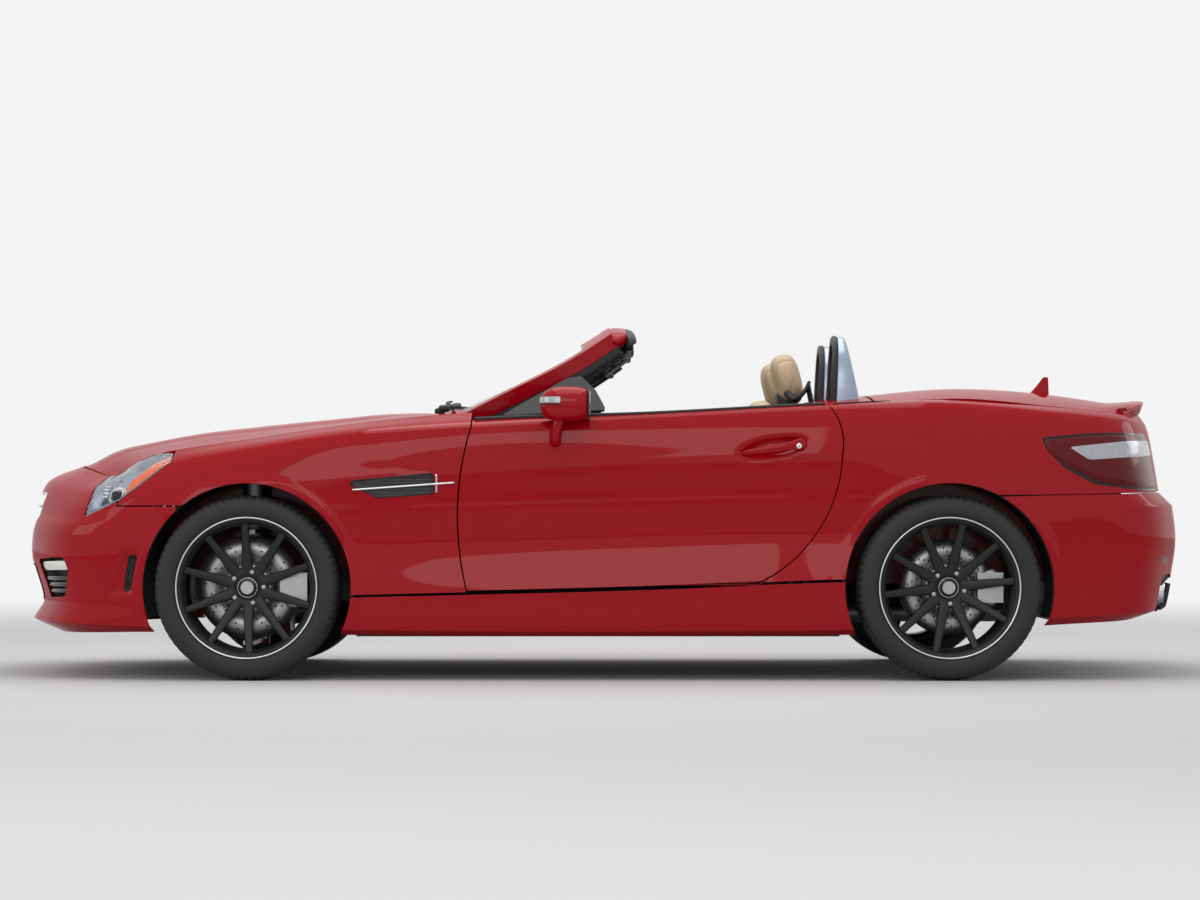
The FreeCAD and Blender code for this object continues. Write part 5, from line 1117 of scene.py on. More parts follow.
for number, height in enumerate(frontTrim["slats"]):
    slat = outline([(538, height + 6), (744, height + 10), (738, height - 4), (542, height - 8)], 0.004)
    bodyPanel(f"intake_slats_{number}", noseFront, samples(1, 4, place=0.5, spacing=0.004), glossBlack, 1, keep=[("end", slat)],
        lift=(-0.008, 0.004, 0, 0.005), wall=0.016, edge=0.001)

# Rear: black diffuser with fins, exhaust finishers, blank plate and reflectors.
rearTrim = {"opening": [(-10, 347), (468, 347), (488, 364), (627, 364), (655, 330), (658, 250), (640, 100), (-10, 100)],
    "fins": (0.11, 0.25, 0.39),
    "plate": [(-10, 515), (262, 515), (262, 403), (-10, 403)], "pipe": (0.56, 0.303), "pipeSize": (0.15, 0.066)}
bodyPanel("rear_diffuser", bothTails, samples(0, 3, place=12.5), blackPlastic, 1,
    keep=[("end", outline(rearTrim["opening"], 0.012))], cut=[archCircle(rearX)], lift=(-0.006, -0.016, 0, 0.03), wall=0.003, edge=0.001)
for number, y in enumerate(rearTrim["fins"]):
    for word, side in sides:
        z = np.linspace(228, 326, 14)
        line = onSkin(join(side * y * 1000, z), 1, -16, "tail")
        tube(f"diffuser_fin_{word}_{number}", line, (0.009, 0.044, 4, 16), blackPlastic, (1, 0, 0), 14)
for word, side in sides:
    y, z = rearTrim["pipe"]
    wide, high = rearTrim["pipeSize"]
    rows = []
    for x, grow in ((1.855, -0.008), (1.955, -0.002), (1.978, 0), (1.984, -0.002), (1.984, -0.008), (1.976, -0.011),
            (1.905, -0.013), (1.86, -0.014)):
        ring = oval(wide + grow, high + grow, 3.2, 48)
        lean = x + 0.012 * ring[:, 1] / high * (x > 1.95)
        rows.append(join(lean, side * (y + ring[:, 0]), z + ring[:, 1]))
    gridPiece("exhaust_tip_" + word, rows, chrome, closeColumns=True, outward=True)
    # a black plug a little way into each tip: painted shade of the pipe's hollow
    lumpPiece("exhaust_inside_" + word, (1.9, side * y, z), (0.02, wide - 0.01, high - 0.01), blackPlastic, 3.2)
    lumpPiece("exhaust_web_" + word, (1.935, side * y, z), (0.085, 0.009, high - 0.012), chrome, 6)
reflector = outline([(590, 418), (700, 426), (700, 406), (590, 398)], 0.006)
rearRows, plate = samples(2, 5, place=12.5), outline(rearTrim["plate"], 0.006)
for name, rows, material, form, lift, wall, edge in (
        ("rear_reflectors", samples(2, 5, place=12.5, spacing=0.006), tailRed, reflector, 0.001, 0.003, 0.0008),
        ("plate_holder", rearRows, blackPlastic, grownOutline(plate, 4), 0.0006, 0.004, 0.001),
        ("blank_plate", rearRows, plateWhite, plate, 0.0018, 0.003, 0.0008)):
    bodyPanel(name, bothTails, rows, material, 1, [("end", form)], lift=lift, wall=wall, edge=edge)
print("front and rear trim made")

# Wheels: sizes in metres, outboard distances from the wheel's middle.
wheelShape = {
    "radius": 0.32, "spokes": 10, "hub": 0.052, "spokeRoot": 0.044, "spokeEnd": 0.026, "rimFace": 0.088, "boltCircle": 0.056,
    "treadBlocks": 72,
    "front": {"x": -1.225, "y": 0.78, "width": 0.235, "disc": 0.18, "turn": -2.0},
    "rear": {"x": 1.205, "y": 0.7825, "width": 0.255, "disc": 0.165, "turn": 12.0}, }


def makeWheel(axle, word, side):
    # every round part is a profile turned about the axle; the spokes are one closed form turned ten times
    shape, place = wheelShape, wheelShape[axle]
    centre = np.array([place["x"], side * place["y"], shape["radius"]])
    body = f"wheel_{axle}_{word}"
    tag = f"{axle}_{word}"

    def turned(name, profile, material, count, replaced=(), closed=True):
        roundPiece(f"{name}_{tag}", lathe(profile, centre, side, count), material, replaced, closed, body=body)

    k = place["width"] / 0.235
    half = [(0.096, 0.229), (0.098, 0.2475), (0.105, 0.249), (0.111, 0.254), (0.116, 0.264), (0.1172, 0.276), (0.115, 0.291),
        (0.1085, 0.3035),
            (0.1, 0.311), (0.09, 0.3155), (0.078, 0.318), (0.07, 0.3188), (0.069, 0.3115), (0.06, 0.3115), (0.059, 0.3193),
            (0.03, 0.32), (0.029, 0.312), (0.019, 0.312), (0.018, 0.32), (0, 0.32)]
    half = np.array(half) * [k, 1]
    profile = np.concatenate([half, half[-2::-1] * [-1, 1]])
    count = shape["treadBlocks"] * 6
    tyre = lathe(profile, centre, side, count)
    # shoulder blocks: the tread outside the grooves sinks in a narrow slot once for each block
    slot = (np.arange(count) % 6 < 1)[:, None] & (np.abs(profile[:, 0]) > 0.0695 * k)[None] & (profile[:, 1] > 0.309)[None]
    sunk = lathe(profile - [0, 0.0055], centre, side, count)
    tyre = np.where(slot[..., None], sunk, tyre)
    roundPiece("tyre_tread_" + tag, tyre, rubber, (f"tyre_{tag}",), body=body)
    wide = (place["width"] - 0.235) / 2
    lip = np.array([(0.0985, 0.2395), (0.101, 0.24), (0.103, 0.241), (0.1035, 0.245), (0.102, 0.2465), (0.099, 0.246)]) + [wide, 0]
    turned("rim_lip", lip, machined, 128, (f"rim_{tag}",))
    barrel = np.array([(0.0995, 0.2455), (0.1, 0.2402), (0.094, 0.2375), (0.085, 0.229), (0.05, 0.2215), (-0.085, 0.2215), (-0.096, 0.23),
        (-0.1, 0.246), (-0.104, 0.2455), (-0.1, 0.224), (-0.085, 0.216), (0.05, 0.216), (0.085, 0.223), (0.096, 0.235)])
    barrel[:, 0] += wide * np.sign(barrel[:, 0])
    turned("rim_barrel", barrel, rimBlack, 128)
    r = np.linspace(0.036, 0.2385, 26)
    f = (r - r[0]) / (r[-1] - r[0])
    width = shape["spokeRoot"] + (shape["spokeEnd"] - shape["spokeRoot"]) * np.clip(f * 1.25, 0, 1) ** 0.8 + 0.01 * ramp(r, 0.222, 0.2385)
    face = shape["hub"] + (shape["rimFace"] + wide - shape["hub"]) * f ** 1.2
    deep = 0.034 - 0.01 * f
    section = oval(1, 1, 4, 20)
    spoke = join(section[:, 0] * width[:, None], face[:, None] - deep[:, None] * (0.5 - section[:, 1]), r[:, None])
    points, faces = [], []
    one = gridFaces(26, 20, closeColumns=True)
    for n in range(shape["spokes"]):
        turn = math.radians(place["turn"] + 36 * n)
        c, s = math.cos(turn), math.sin(turn)
        x = spoke[..., 0] * c + spoke[..., 2] * s
        z = -spoke[..., 0] * s + spoke[..., 2] * c
        points.append((join(x, side * spoke[..., 1], z) + centre).reshape(-1, 3))
        faces.append(one + n * 520)
    meshPiece("rim_spokes_" + tag, np.vstack(points), np.vstack(faces), rimBlack, body, outward=True)
    hub = [(0.02, 0.074), (0.046, 0.074), (0.0515, 0.07), (0.0535, 0.06), (0.0535, 0.04), (0.05, 0.0385), (0.05, 0.0005), (0.02, 0.0005)]
    turned("rim_hub", hub, rimBlack, 64)
    cap = [(0.05, 0.0375), (0.0555, 0.037), (0.057, 0.034), (0.0555, 0.032), (0.056, 0.03), (0.059, 0.015), (0.0598, 0.0004)]
    turned("hub_cap", cap, glossBlack, 64, closed=False)
    ring = [(0.056, 0.0352), (0.0582, 0.0345), (0.0582, 0.0332), (0.056, 0.0326)]
    turned("cap_ring", ring, chrome, 64)
    bolts = []
    for n in range(5):
        turn = math.radians(place["turn"] + 72 * n + 18)
        spot = centre + np.array([math.sin(turn), 0, math.cos(turn)]) * shape["boltCircle"]
        bolts.append(lathe([(0.05, 0.0085), (0.057, 0.0085), (0.0585, 0.007), (0.0585, 0.0001)], spot, side, 6))
    faces = np.vstack([gridFaces(6, 4, closeRows=True) + n * 24 for n in range(5)])
    meshPiece("wheel_bolts_" + tag, bolts, faces, castAlloy, body, outward=True)
    disc = np.array([(0.004, 0.085), (0.004, place["disc"]), (-0.006, place["disc"]), (-0.007, place["disc"] - 0.006),
        (-0.013, place["disc"] - 0.006),
        (-0.014, place["disc"]), (-0.024, place["disc"]), (-0.024, 0.085)]) + [0.004, 0]
    bell = [(0.006, 0.088), (0.03, 0.082), (0.036, 0.076), (0.036, 0.03), (0.026, 0.03), (0.02, 0.076), (-0.016, 0.08), (-0.016, 0.088)]
    turned("brake_rotor", disc, discIron, 96, (f"brake_disc_{tag}",))
    turned("brake_bell", bell, castAlloy, 72)
    # drilled holes: the shade inside them painted as dark studs a hair proud of the rotor's face, in bent rows
    rows = np.arange(90)
    radius = 0.098 + (place["disc"] - 0.112) * (rows % 5) / 4
    turn = 2 * np.pi * (rows // 5) / 18 + 0.09 * (rows % 5)
    ringAngle = circle(8)
    x = (radius * np.cos(turn))[:, None] + 0.0036 * np.cos(ringAngle)
    z = (radius * np.sin(turn))[:, None] + 0.0036 * np.sin(ringAngle)
    top = join(x, side * 0.0084, z) + centre
    low = top - [0, side * 0.003, 0]
    points = np.concatenate([low, top], 1)
    base = np.arange(90)[:, None, None] * 16
    j = np.arange(8)
    k2 = (j + 1) % 8
    walls = base + np.stack([j, k2, k2 + 8, j + 8], 1)
    tops = base + [[8, 9, 10, 11], [8, 11, 12, 15], [12, 13, 14, 15]]
    faces = np.concatenate([walls.reshape(-1, 4), tops.reshape(-1, 4)])
    meshPiece("rotor_holes_" + tag, points, faces, blackPlastic, body, outward=True)
    # caliper: a rounded section carried round the rotor behind the axle
    carrier = f"knuckle_{word}" if axle == "front" else "car_body"
    angle = np.linspace(-0.42, 0.42, 22)
    grow = np.sqrt(np.clip(1 - (np.abs(angle) / 0.44) ** 6, 0.02, 1))
    form = oval(0.062, 0.084, 3.5, 24)
    radius = place["disc"] - 0.02 + form[None, :, 1] * grow[:, None]
    outboard = 0.008 + form[None, :, 0] * (0.75 + 0.25 * grow[:, None])
    angle = angle[:, None]
    caliper = join(radius * np.cos(angle), side * outboard, radius * np.sin(angle)) + centre
    gridPiece("brake_caliper_" + tag, caliper, castAlloy, caps=True, body=carrier)


for axle in ("front", "rear"):
    for word, side in sides:
        makeWheel(axle, word, side)
print("wheels made")

# Seats: closed forms swollen as cloth under pressure, seams pressed in afterwards, the right seat a mirror of the left.
seatShape = {
    "y": 0.375, "voxel": 0.0085, "pressure": 4.0, "cap": 0.012, "fill": 0.6, "seam": 0.0045, "seamWidth": 0.0045,
    "cushion": {"at": (0.3, 0.342), "size": (0.49, 0.425, 0.135), "tilt": 8.0, "bolster": 0.034, "rib": (0.17, 0.27, 0.37)},
    "back": {"at": (0.612, 0.69), "size": (0.1, 0.43, 0.61), "tilt": -8.5, "bolster": 0.04, "rib": (0.5, 0.61, 0.72, 0.83)},
    "head": {"at": (0.668, 1.056), "size": (0.1, 0.262, 0.186), "tilt": -14.0}, }


def pressedSeams(piece, lines, facing):
    # the points near each seam sink along their normals; a line gives distances from the points, facing picks the padded side
    mesh = piece.data
    points, ways = readPoints(mesh), readPoints(mesh, "normal")
    sink = np.zeros(len(points))
    for line in lines:
        sink = np.maximum(sink, np.exp(-(line(points) / seatShape["seamWidth"]) ** 2))
    sink *= ramp(facing(ways), 0.1, 0.5)
    mesh.vertices.foreach_set("co", (points - ways * (sink * seatShape["seam"])[:, None]).ravel())
    mesh.update()


def padPiece(name, grid, material, replaced=(), lines=(), facing=lambda ways: ways[:, 2], body="car_body"):
    piece = gridPiece(name, grid, material, replaced, closeColumns=True, merge=1e-5, outward=True, body=body)
    fine = piece.modifiers.new("fine", "REMESH")
    fine.mode = "VOXEL"
    fine.voxel_size = seatShape["voxel"]
    fine.use_smooth_shade = True
    settle = bpy.context.evaluated_depsgraph_get
    piece.data = bpy.data.meshes.new_from_object(piece.evaluated_get(settle()))
    piece.modifiers.clear()
    rest = np.empty(len(piece.data.vertices) * 3)
    piece.data.vertices.foreach_get("co", rest)
    cloth = piece.modifiers.new("swell", "CLOTH")
    cloth.settings.use_pressure = True
    cloth.settings.uniform_pressure_force = seatShape["pressure"]
    cloth.settings.effector_weights.gravity = 0
    for step in range(1, 21):
        bpy.context.scene.frame_set(step)
    swollen = bpy.data.meshes.new_from_object(piece.evaluated_get(settle()))
    found = np.empty_like(rest)
    swollen.vertices.foreach_get("co", found)
    piece.modifiers.clear()
    bpy.context.scene.frame_set(1)
    move = (found - rest).reshape(-1, 3)
    far = np.linalg.norm(move, axis=1)[:, None]
    piece.data.vertices.foreach_set("co", (rest.reshape(-1, 3) + move
        * np.minimum(1, seatShape["cap"] / np.maximum(far, 1e-9))).ravel())
    piece.data.update()
    smooth = piece.modifiers.new("smooth", "SUBSURF")
    smooth.levels = smooth.render_levels = 1
    piece.data = bpy.data.meshes.new_from_object(piece.evaluated_get(settle()))
    piece.modifiers.clear()
    pressedSeams(piece, lines, facing)
    piece.data.name = name
    return piece


def mirrored(piece, name, body):
    # the same form on the car's other side, its faces turned back outwards
    mesh = piece.data.copy()
    mesh.vertices.foreach_set("co", (readPoints(mesh) * mirror).ravel())
    mesh.flip_normals()
    mesh.update()
    twin = show(name, mesh)
    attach(twin, body)
    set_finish(twin, piece["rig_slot"])
    return twin


seatY = -seatShape["y"]


def seatMiddle(part):
    return np.array([part["at"][0], seatY, part["at"][1]])


part = seatShape["cushion"]
form = lump((0, 0, 0), part["size"], 5, 41, 72)
side2 = np.abs(form[..., 1]) / (part["size"][1] / 2)
form[..., 2] += part["bolster"] * ramp(side2, 0.52, 0.85) * (form[..., 2] > 0) - 0.01 * (1
    - ramp(np.abs(form[..., 0]), 0.05, 0.24)) * (form[..., 2] > 0) * (side2 < 0.6)
middle = seatMiddle(part)
cushion = padPiece("seat_cushion_left", tilted(form + middle, part["tilt"], middle), beigeLeather, ("seats",),
    [lambda p: np.abs(np.abs(p[:, 1] - seatY) - 0.128)] + [lambda p, x=x: np.abs(p[:, 0] - x) + 9
    * (np.abs(p[:, 1] - seatY) > 0.128) for x in part["rib"]])
part = seatShape["back"]
form = lump((0, 0, 0), part["size"], 5, 57, 72)
up = form[..., 2] / part["size"][2]
form[..., 1] *= 1.0 - 0.22 * ramp(up, 0.18, 0.5) - 0.06 * ramp(-up, 0.25, 0.5)
side2 = np.abs(form[..., 1]) / (part["size"][1] / 2)
form[..., 0] -= part["bolster"] * ramp(side2, 0.5, 0.82) * (form[..., 0] < 0) * (1 - ramp(up, 0.25, 0.48))
middle = seatMiddle(part)
backrest = padPiece("seat_back_left", tilted(form + middle, part["tilt"], middle), beigeLeather, (),
    [lambda p: np.abs(np.abs(p[:, 1] - seatY) - 0.122 + 0.03 * ramp(p[:, 2], 0.85, 1))]
    + [lambda p, z=z: np.abs(p[:, 2] - z) + 9 * (np.abs(p[:, 1] - seatY) > 0.12) for z in part["rib"]], lambda ways: -ways[:, 0])
part = seatShape["head"]
form = lump((0, 0, 0), part["size"], 3, 41, 64)
form[..., 1] *= 1.0 - 0.14 * ramp(form[..., 2], -0.02, 0.09)
middle = seatMiddle(part)
headrest = padPiece("seat_head_left", tilted(form + middle, part["tilt"], middle), beigeLeather, (),
    [lambda p: np.abs(np.abs(p[:, 1] - seatY) - 0.098), lambda p: np.abs(p[:, 0] - 0.69 - 0.25 * (p[:, 2] - 1.06))],
    lambda ways: 0.6 - ways[:, 0])
for piece in (cushion, backrest, headrest):
    mirrored(piece, piece.name.replace("left", "right"), "car_body")
for word, side in sides:
    y = side * seatShape["y"]
    lumpPiece("seat_base_" + word, (0.325, y, 0.235), (0.5, 0.4, 0.122), blackPlastic, 6)
    lumpPiece("seat_shell_" + word, (0.655, y, 0.64), (0.052, 0.392, 0.6), blackLeather, 5, tilt=-8, rows=33, columns=48)
    lumpPiece("seat_side_" + word, (0.31, y + side * 0.208, 0.268), (0.42, 0.028, 0.092), blackPlastic, 5, tilt=3)
    for number, offset in enumerate((-0.16, 0.16)):
        lumpPiece(f"seat_rail_{word}_{number}", (0.32, y + offset, 0.184), (0.56, 0.042, 0.022), castAlloy, 8)
    lumpPiece("seat_neck_" + word, (0.66, y, 0.975), (0.058, 0.19, 0.09), blackLeather, 4, tilt=-12)
    guide = [(0.668, y + side * 0.118, 1.000), (0.69, y + side * 0.15, 0.985), (0.722, y + side * 0.16, 1.008),
        (0.742, y + side * 0.158, 1.046)]
    tube("belt_guide_" + word, guide, (0.02, 0.036, 2.6, 16), blackPlastic, (0, 1, 0), 30, np.linspace(1.2, 0.6, 30))
    belt = [(0.736, y + side * 0.162, 1.03), (0.748, y + side * 0.185, 0.96), (0.752, y + side * 0.205, 0.8),
        (0.732, y + side * 0.232, 0.55), (0.66, y + side * 0.24, 0.3)]
    tube("seat_belt_" + word, belt, (0.046, 0.003, 6, 12), blackLeather, (1, 0.3, 0), 60)
print("seats made")

# Roll hoops behind the seats: a black front frame and a silver shell that widens towards the deck.
hoopShape = {"y": 0.375, "half": 0.128, "foot": 0.962, "top": 1.198, "front": 0.829, "frame": 0.019, "shell": (0.026, 0.092),
    "thick": (0.034, 0.027)}
for word, side in sides:
    half, foot, top = hoopShape["half"], hoopShape["foot"], hoopShape["top"]
    t = np.linspace(0, np.pi, 61)
    bend = lambda v: np.sign(v) * np.abs(v) ** 0.55
    y, z = half * bend(np.cos(t)) * (1 - 0.1 * np.sin(t)), foot + (top - foot) * np.sin(t) ** 0.5
    run = np.concatenate([[0], np.cumsum(np.hypot(np.diff(y), np.diff(z)))])
    even = np.linspace(0, run[-1], 72)
    y, z = np.interp(even, run, y), np.interp(even, run, z)
    ahead = unit(join(np.gradient(y), np.gradient(z)))
    out = join(ahead[:, 1], -ahead[:, 0])
    rise = np.clip((z - foot) / (top - foot), 0, 1)
    front, frameDeep, (shellTop, shellFoot) = hoopShape["front"], hoopShape["frame"], hoopShape["shell"]
    shellDeep = shellTop + (shellFoot - shellTop) * (1 - rise) ** 0.9
    for name, material, start, depth, thick, replaced in (
            ("hoop_shell_", hoopSilver, front + frameDeep - 0.002, shellDeep[:, None], hoopShape["thick"][1], ("roll_hoops",)),
            ("hoop_frame_", blackLeather, front, frameDeep, hoopShape["thick"][0], ())):
        along, across = oval(1, 1, 4, 20).T
        x = start + depth * (along + 0.5) - (0.012 * (1 - rise))[:, None]
        across = thick * across
        grid = join(x, side * (hoopShape["y"] + y[:, None] + out[:, :1] * across), z[:, None] + out[:, 1:] * across)
        gridPiece(name + word, grid, material, replaced, caps=True)
    web = join(hoopShape["front"] + 0.02, side * (hoopShape["y"] + np.linspace(1, -1, 40) * (half - 0.008)),
        foot + 0.004 + np.linspace(0, 1, 12)[:, None] * 0.075)
    gridPiece("hoop_web_" + word, web, blackPlastic, wall=0.01, edge=0.002, flip=side > 0)
print("hoops made")

# Steering wheel, in its own frame: along the column towards the driver, across, and up the wheel's face.
driverY = -0.375
wheelPlace = {"at": (-0.06, driverY, 0.88), "tilt": 66, "radius": 0.1815, "grip": (0.028, 0.033), "flat": 0.163}
lean = math.radians(wheelPlace["tilt"])
column, faceUp = np.array([math.sin(lean), 0, math.cos(lean)]), np.array([-math.cos(lean), 0, math.sin(lean)])


def onWheel(local):
    # from (towards the driver, across, up the face) to the car's frame
    local = np.asarray(local, float)
    return np.array(wheelPlace["at"]) + local[..., :1] * column + local[..., 1:2] * [0, 1.0, 0] + local[..., 2:] * faceUp


a = circle(120)
rim = join(0.0, wheelPlace["radius"] * np.cos(a), np.maximum(wheelPlace["radius"] * np.sin(a), -wheelPlace["flat"]))
ringTube("steering_rim", onWheel(rim), (*wheelPlace["grip"], 2.2, 20), blackLeather, column, body="steering_wheel",
    replaced=("steering_wheel",))
ballPiece("steering_hub", onWheel(lump((0.002, 0, 0.004), (0.052, 0.15, 0.118), 3, 25, 48)), blackLeather, body="steering_wheel")
roundPiece("steering_ring", onWheel(spun([(0.026, 0.024), (0.029, 0.024), (0.029, 0.027), (0.026, 0.027)], (0, 0, 0.004),
    (1, 0, 0), 40)), chrome,
    body="steering_wheel")
spokes = [(word, [(-0.006, side * 0.06, 0.018), (-0.01, side * 0.11, 0.022), (-0.002, side * 0.172, 0.016)], 0.052, blackPlastic)
    for word, side in sides]
spokes.append(("low", [(-0.006, 0, -0.045), (-0.01, 0, -0.1), (-0.002, 0, -0.156)], 0.07, hoopSilver))
for word, points, wide, material in spokes:
    tube("steering_spoke_" + word, onWheel(points), (wide, 0.016, 3.5, 20), material, column, 24,
         join(np.linspace(1.15, 0.72, 24), np.linspace(1, 0.9, 24)), body="steering_wheel")
    if word != "low":
        pad = np.mean(points, 0) + [0.011, 0, 0]
        ballPiece("steering_keys_" + word, onWheel(lump(pad, (0.01, 0.052, 0.036), 4)), hoopSilver, body="steering_wheel")
shaft = [(-0.01, 0), (-0.01, 0.036), (-0.06, 0.04), (-0.11, 0.034), (-0.165, 0.02), (-0.19, 0)]
roundPiece("steering_shaft", onWheel(spun(shaft, (0, 0, 0), (1, 0, 0), 40)), blackPlastic, closed=False, merge=1e-5,
    body="steering_wheel")
shroud = [(-0.085, 0.047), (-0.085, 0.064), (-0.1, 0.07), (-0.29, 0.075), (-0.29, 0.06), (-0.105, 0.05)]
roundPiece("column_shroud", onWheel(spun(shroud, (0, 0, 0), (1, 0, 0), 48)), blackPlastic)
for word, side in sides:
    stalk = [(-0.1, side * 0.06, 0.01), (-0.092, side * 0.11, 0.018), (-0.085, side * 0.165, 0.024)]
    tube("column_stalk_" + word, onWheel(stalk), (0.013, 0.01, 2.4, 14), blackPlastic, column, 20)

# Dashboard: one profile carried across the car, with a hood and a recess in front of the driver.
dashShape = {"profile": [(-0.69, 0.77), (-0.682, 0.816), (-0.6, 0.842), (-0.5, 0.862), (-0.41, 0.884), (-0.335, 0.886),
    (-0.285, 0.862), (-0.262, 0.818), (-0.266, 0.745), (-0.3, 0.665), (-0.345, 0.605), (-0.42, 0.6)],
    "half": 0.688, "hood": 0.044, "recess": 0.052, "vents": (-0.595, -0.105, 0.105, 0.595), "ventHeight": 0.8}
rows = smoothPath(dashShape["profile"], 110)
y = np.linspace(-dashShape["half"], dashShape["half"], 190)
hood = np.exp(-(((y - driverY) / 0.175) ** 4))[None]
x, z = rows[:, :1], rows[:, 1:]
front = ramp(x, -0.52, -0.33) * ramp(z, 0.8, 0.86)
x = x + 0.03 * hood * front - dashShape["recess"] * np.exp(-(((y - driverY) / 0.14) ** 6))[None] * ramp(z, 0.735, 0.765) * (1
    - ramp(z, 0.846, 0.862)) * ramp(rows[:, :1], -0.3, -0.27)
z = z + dashShape["hood"] * hood * front
gridPiece("dash_top", join(x, y, z), blackLeather, ("dashboard",), flip=True, wall=0.006, edge=0)
toDriver = (0.93, 0, 0.36)
for number, y in enumerate(dashShape["vents"]):
    at = (-0.268, y, dashShape["ventHeight"])
    facing = (1, 0, 0.05)
    spunPiece(f"vent_ring_{number}", [(0.002, 0.034), (0.016, 0.036), (0.02, 0.04), (0.016, 0.044), (0, 0.045), (-0.01, 0.04)],
        at, facing, chrome)
    spunPiece(f"vent_back_{number}", [(0.004, 0), (0.004, 0.036), (-0.012, 0.036), (-0.012, 0)], at, facing, blackPlastic, False)
    spunPiece(f"vent_knob_{number}", [(0.017, 0), (0.016, 0.009), (0.003, 0.01), (0.003, 0)], at, facing, hoopSilver, False, 24)
    for offset in (-0.017, 0, 0.017):
        lumpPiece(f"vent_vane_{number}_{int(1000 * offset) + 20}", np.array(at) + [0.01, 0, offset],
            (0.01, 0.064 if offset == 0 else 0.056, 0.0025), blackPlastic, 6, rows=9, columns=16)
dialPlace = {"x": -0.312, "z": 0.812, "spread": 0.066, "radius": 0.052}
lumpPiece("dial_panel", (-0.322, driverY, 0.806), (0.012, 0.262, 0.112), blackPlastic, 5, tilt=-14)
for number, side in enumerate((-1, 1)):
    at = (dialPlace["x"], driverY + side * dialPlace["spread"], dialPlace["z"])
    r = dialPlace["radius"]
    spunPiece(f"dial_rim_{number}", [(0, r - 0.004), (0.009, r - 0.003), (0.009, r), (0, r + 0.002)], at, toDriver, chrome)
    spunPiece(f"dial_face_{number}", [(0.004, 0), (0.004, r - 0.004), (-0.004, r - 0.004), (-0.004, 0)], at, toDriver, glossBlack, False)
    spunPiece(f"dial_boss_{number}", [(0.009, 0), (0.009, 0.007), (0.003, 0.008), (0.003, 0)], at, toDriver, blackPlastic, False, 20)
    needle = unit(np.array(toDriver))
    upFace = np.cross(needle, [0, 1.0, 0]) * -1
    turn = np.radians(np.linspace(-125, 125, 19))
    base = np.array(at) + needle * 0.0048
    c, s = np.cos(turn)[:, None], np.sin(turn)[:, None]
    ray, flank = s * [0, 1.0, 0] + c * upFace, c * [0, 1.0, 0] - s * upFace
    quad = np.stack([base + ray * (r - inset) + flank * half for inset, half in ((0.015, -0.0006), (0.015, 0.0006),
        (0.007, 0.0006), (0.007, -0.0006))], 1)
    finishEdges(meshPiece(f"dial_ticks_{number}", quad, np.arange(76).reshape(19, 4), plateWhite), 0.0006)
    tube(f"dial_needle_{number}", [base + needle * 0.002 + ray[4] * out for out in (0, 0.02, r - 0.012)], (0.0022, 0.0012, 3, 8),
        amber, needle, 8)
lumpPiece("centre_screen", (-0.266, 0, 0.722), (0.016, 0.2, 0.098), glossBlack, 7, tilt=10)
lumpPiece("centre_keys", (-0.284, 0, 0.65), (0.012, 0.176, 0.03), hoopSilver, 6, tilt=20)
for number, y in enumerate(np.linspace(-0.072, 0.072, 7)):
    lumpPiece(f"centre_key_{number}", (-0.276, y, 0.652), (0.01, 0.018, 0.016), blackPlastic, 6, tilt=20, rows=9, columns=16)
for number, y in enumerate((-0.062, 0.062)):
    spunPiece(f"climate_knob_{number}", [(0.026, 0), (0.026, 0.015), (0.023, 0.018), (0, 0.019), (0, 0)], (-0.305, y, 0.615),
        (0.9, 0, 0.42), hoopSilver, False, 40)
y = np.linspace(-0.672, 0.672, 80)
tube("dash_strip", join(-0.2635, y, 0.742), (0.01, 0.016, 4, 14), hoopSilver, (1, 0, 0), 80)
print("dashboard made")

# Centre console: a rounded section whose height follows the side outline.
consoleShape = {"line": [(-0.42, 0.6), (-0.33, 0.598), (-0.26, 0.56), (-0.13, 0.488), (0, 0.476), (0.16, 0.48), (0.2, 0.5),
    (0.225, 0.506), (0.5, 0.502), (0.53, 0.47)],
    "half": 0.102, "foot": 0.366}
rows = smoothPath(consoleShape["line"], 120)
section = oval(1, 1, 6, 48)
middle = (rows[:, 1:] + consoleShape["foot"]) / 2
grid = join(rows[:, :1], 2 * consoleShape["half"] * section[None, :, 0], middle + (rows[:, 1:] - consoleShape["foot"])
    * section[None, :, 1])
gridPiece("console_body", grid, blackLeather, ("centre_console",), caps=True)
x = np.linspace(-0.235, 0.175, 50)
top = np.interp(x, rows[:, 0], rows[:, 1]) + 0.0015
wide = np.linspace(-0.074, 0.074, 20)
gridPiece("console_plate", join(x[:, None], wide, top[:, None]), glossBlack, wall=0.004, edge=0.001)
lumpPiece("console_armrest", (0.365, 0, 0.52), (0.3, 0.178, 0.042), beigeLeather, 5, rows=25, columns=48)
spunPiece("lever_boot", [(0.002, 0.05), (0.01, 0.047), (0.022, 0.036), (0.036, 0.024), (0.05, 0.016), (0.05, 0), (0.002, 0)],
    (-0.055, 0, 0.482), (-0.1, 0, 1), blackLeather, False)
spunPiece("lever_ring", [(0, 0.05), (0.006, 0.051), (0.006, 0.056), (0, 0.057)], (-0.055, 0, 0.481), (-0.06, 0, 1), chrome)
spunPiece("lever_stem", [(0.04, 0.009), (0.085, 0.008), (0.085, 0), (0.04, 0)], (-0.055, 0, 0.482), (-0.1, 0, 1), chrome, False, 20)
lumpPiece("lever_knob", (-0.064, 0, 0.578), (0.072, 0.046, 0.042), blackLeather, 2.6, tilt=10)
spunPiece("console_dial", [(0.02, 0), (0.02, 0.019), (0.017, 0.021), (0, 0.022), (0, 0)], (0.085, 0, 0.48), (0, 0, 1), hoopSilver,
    False, 40)
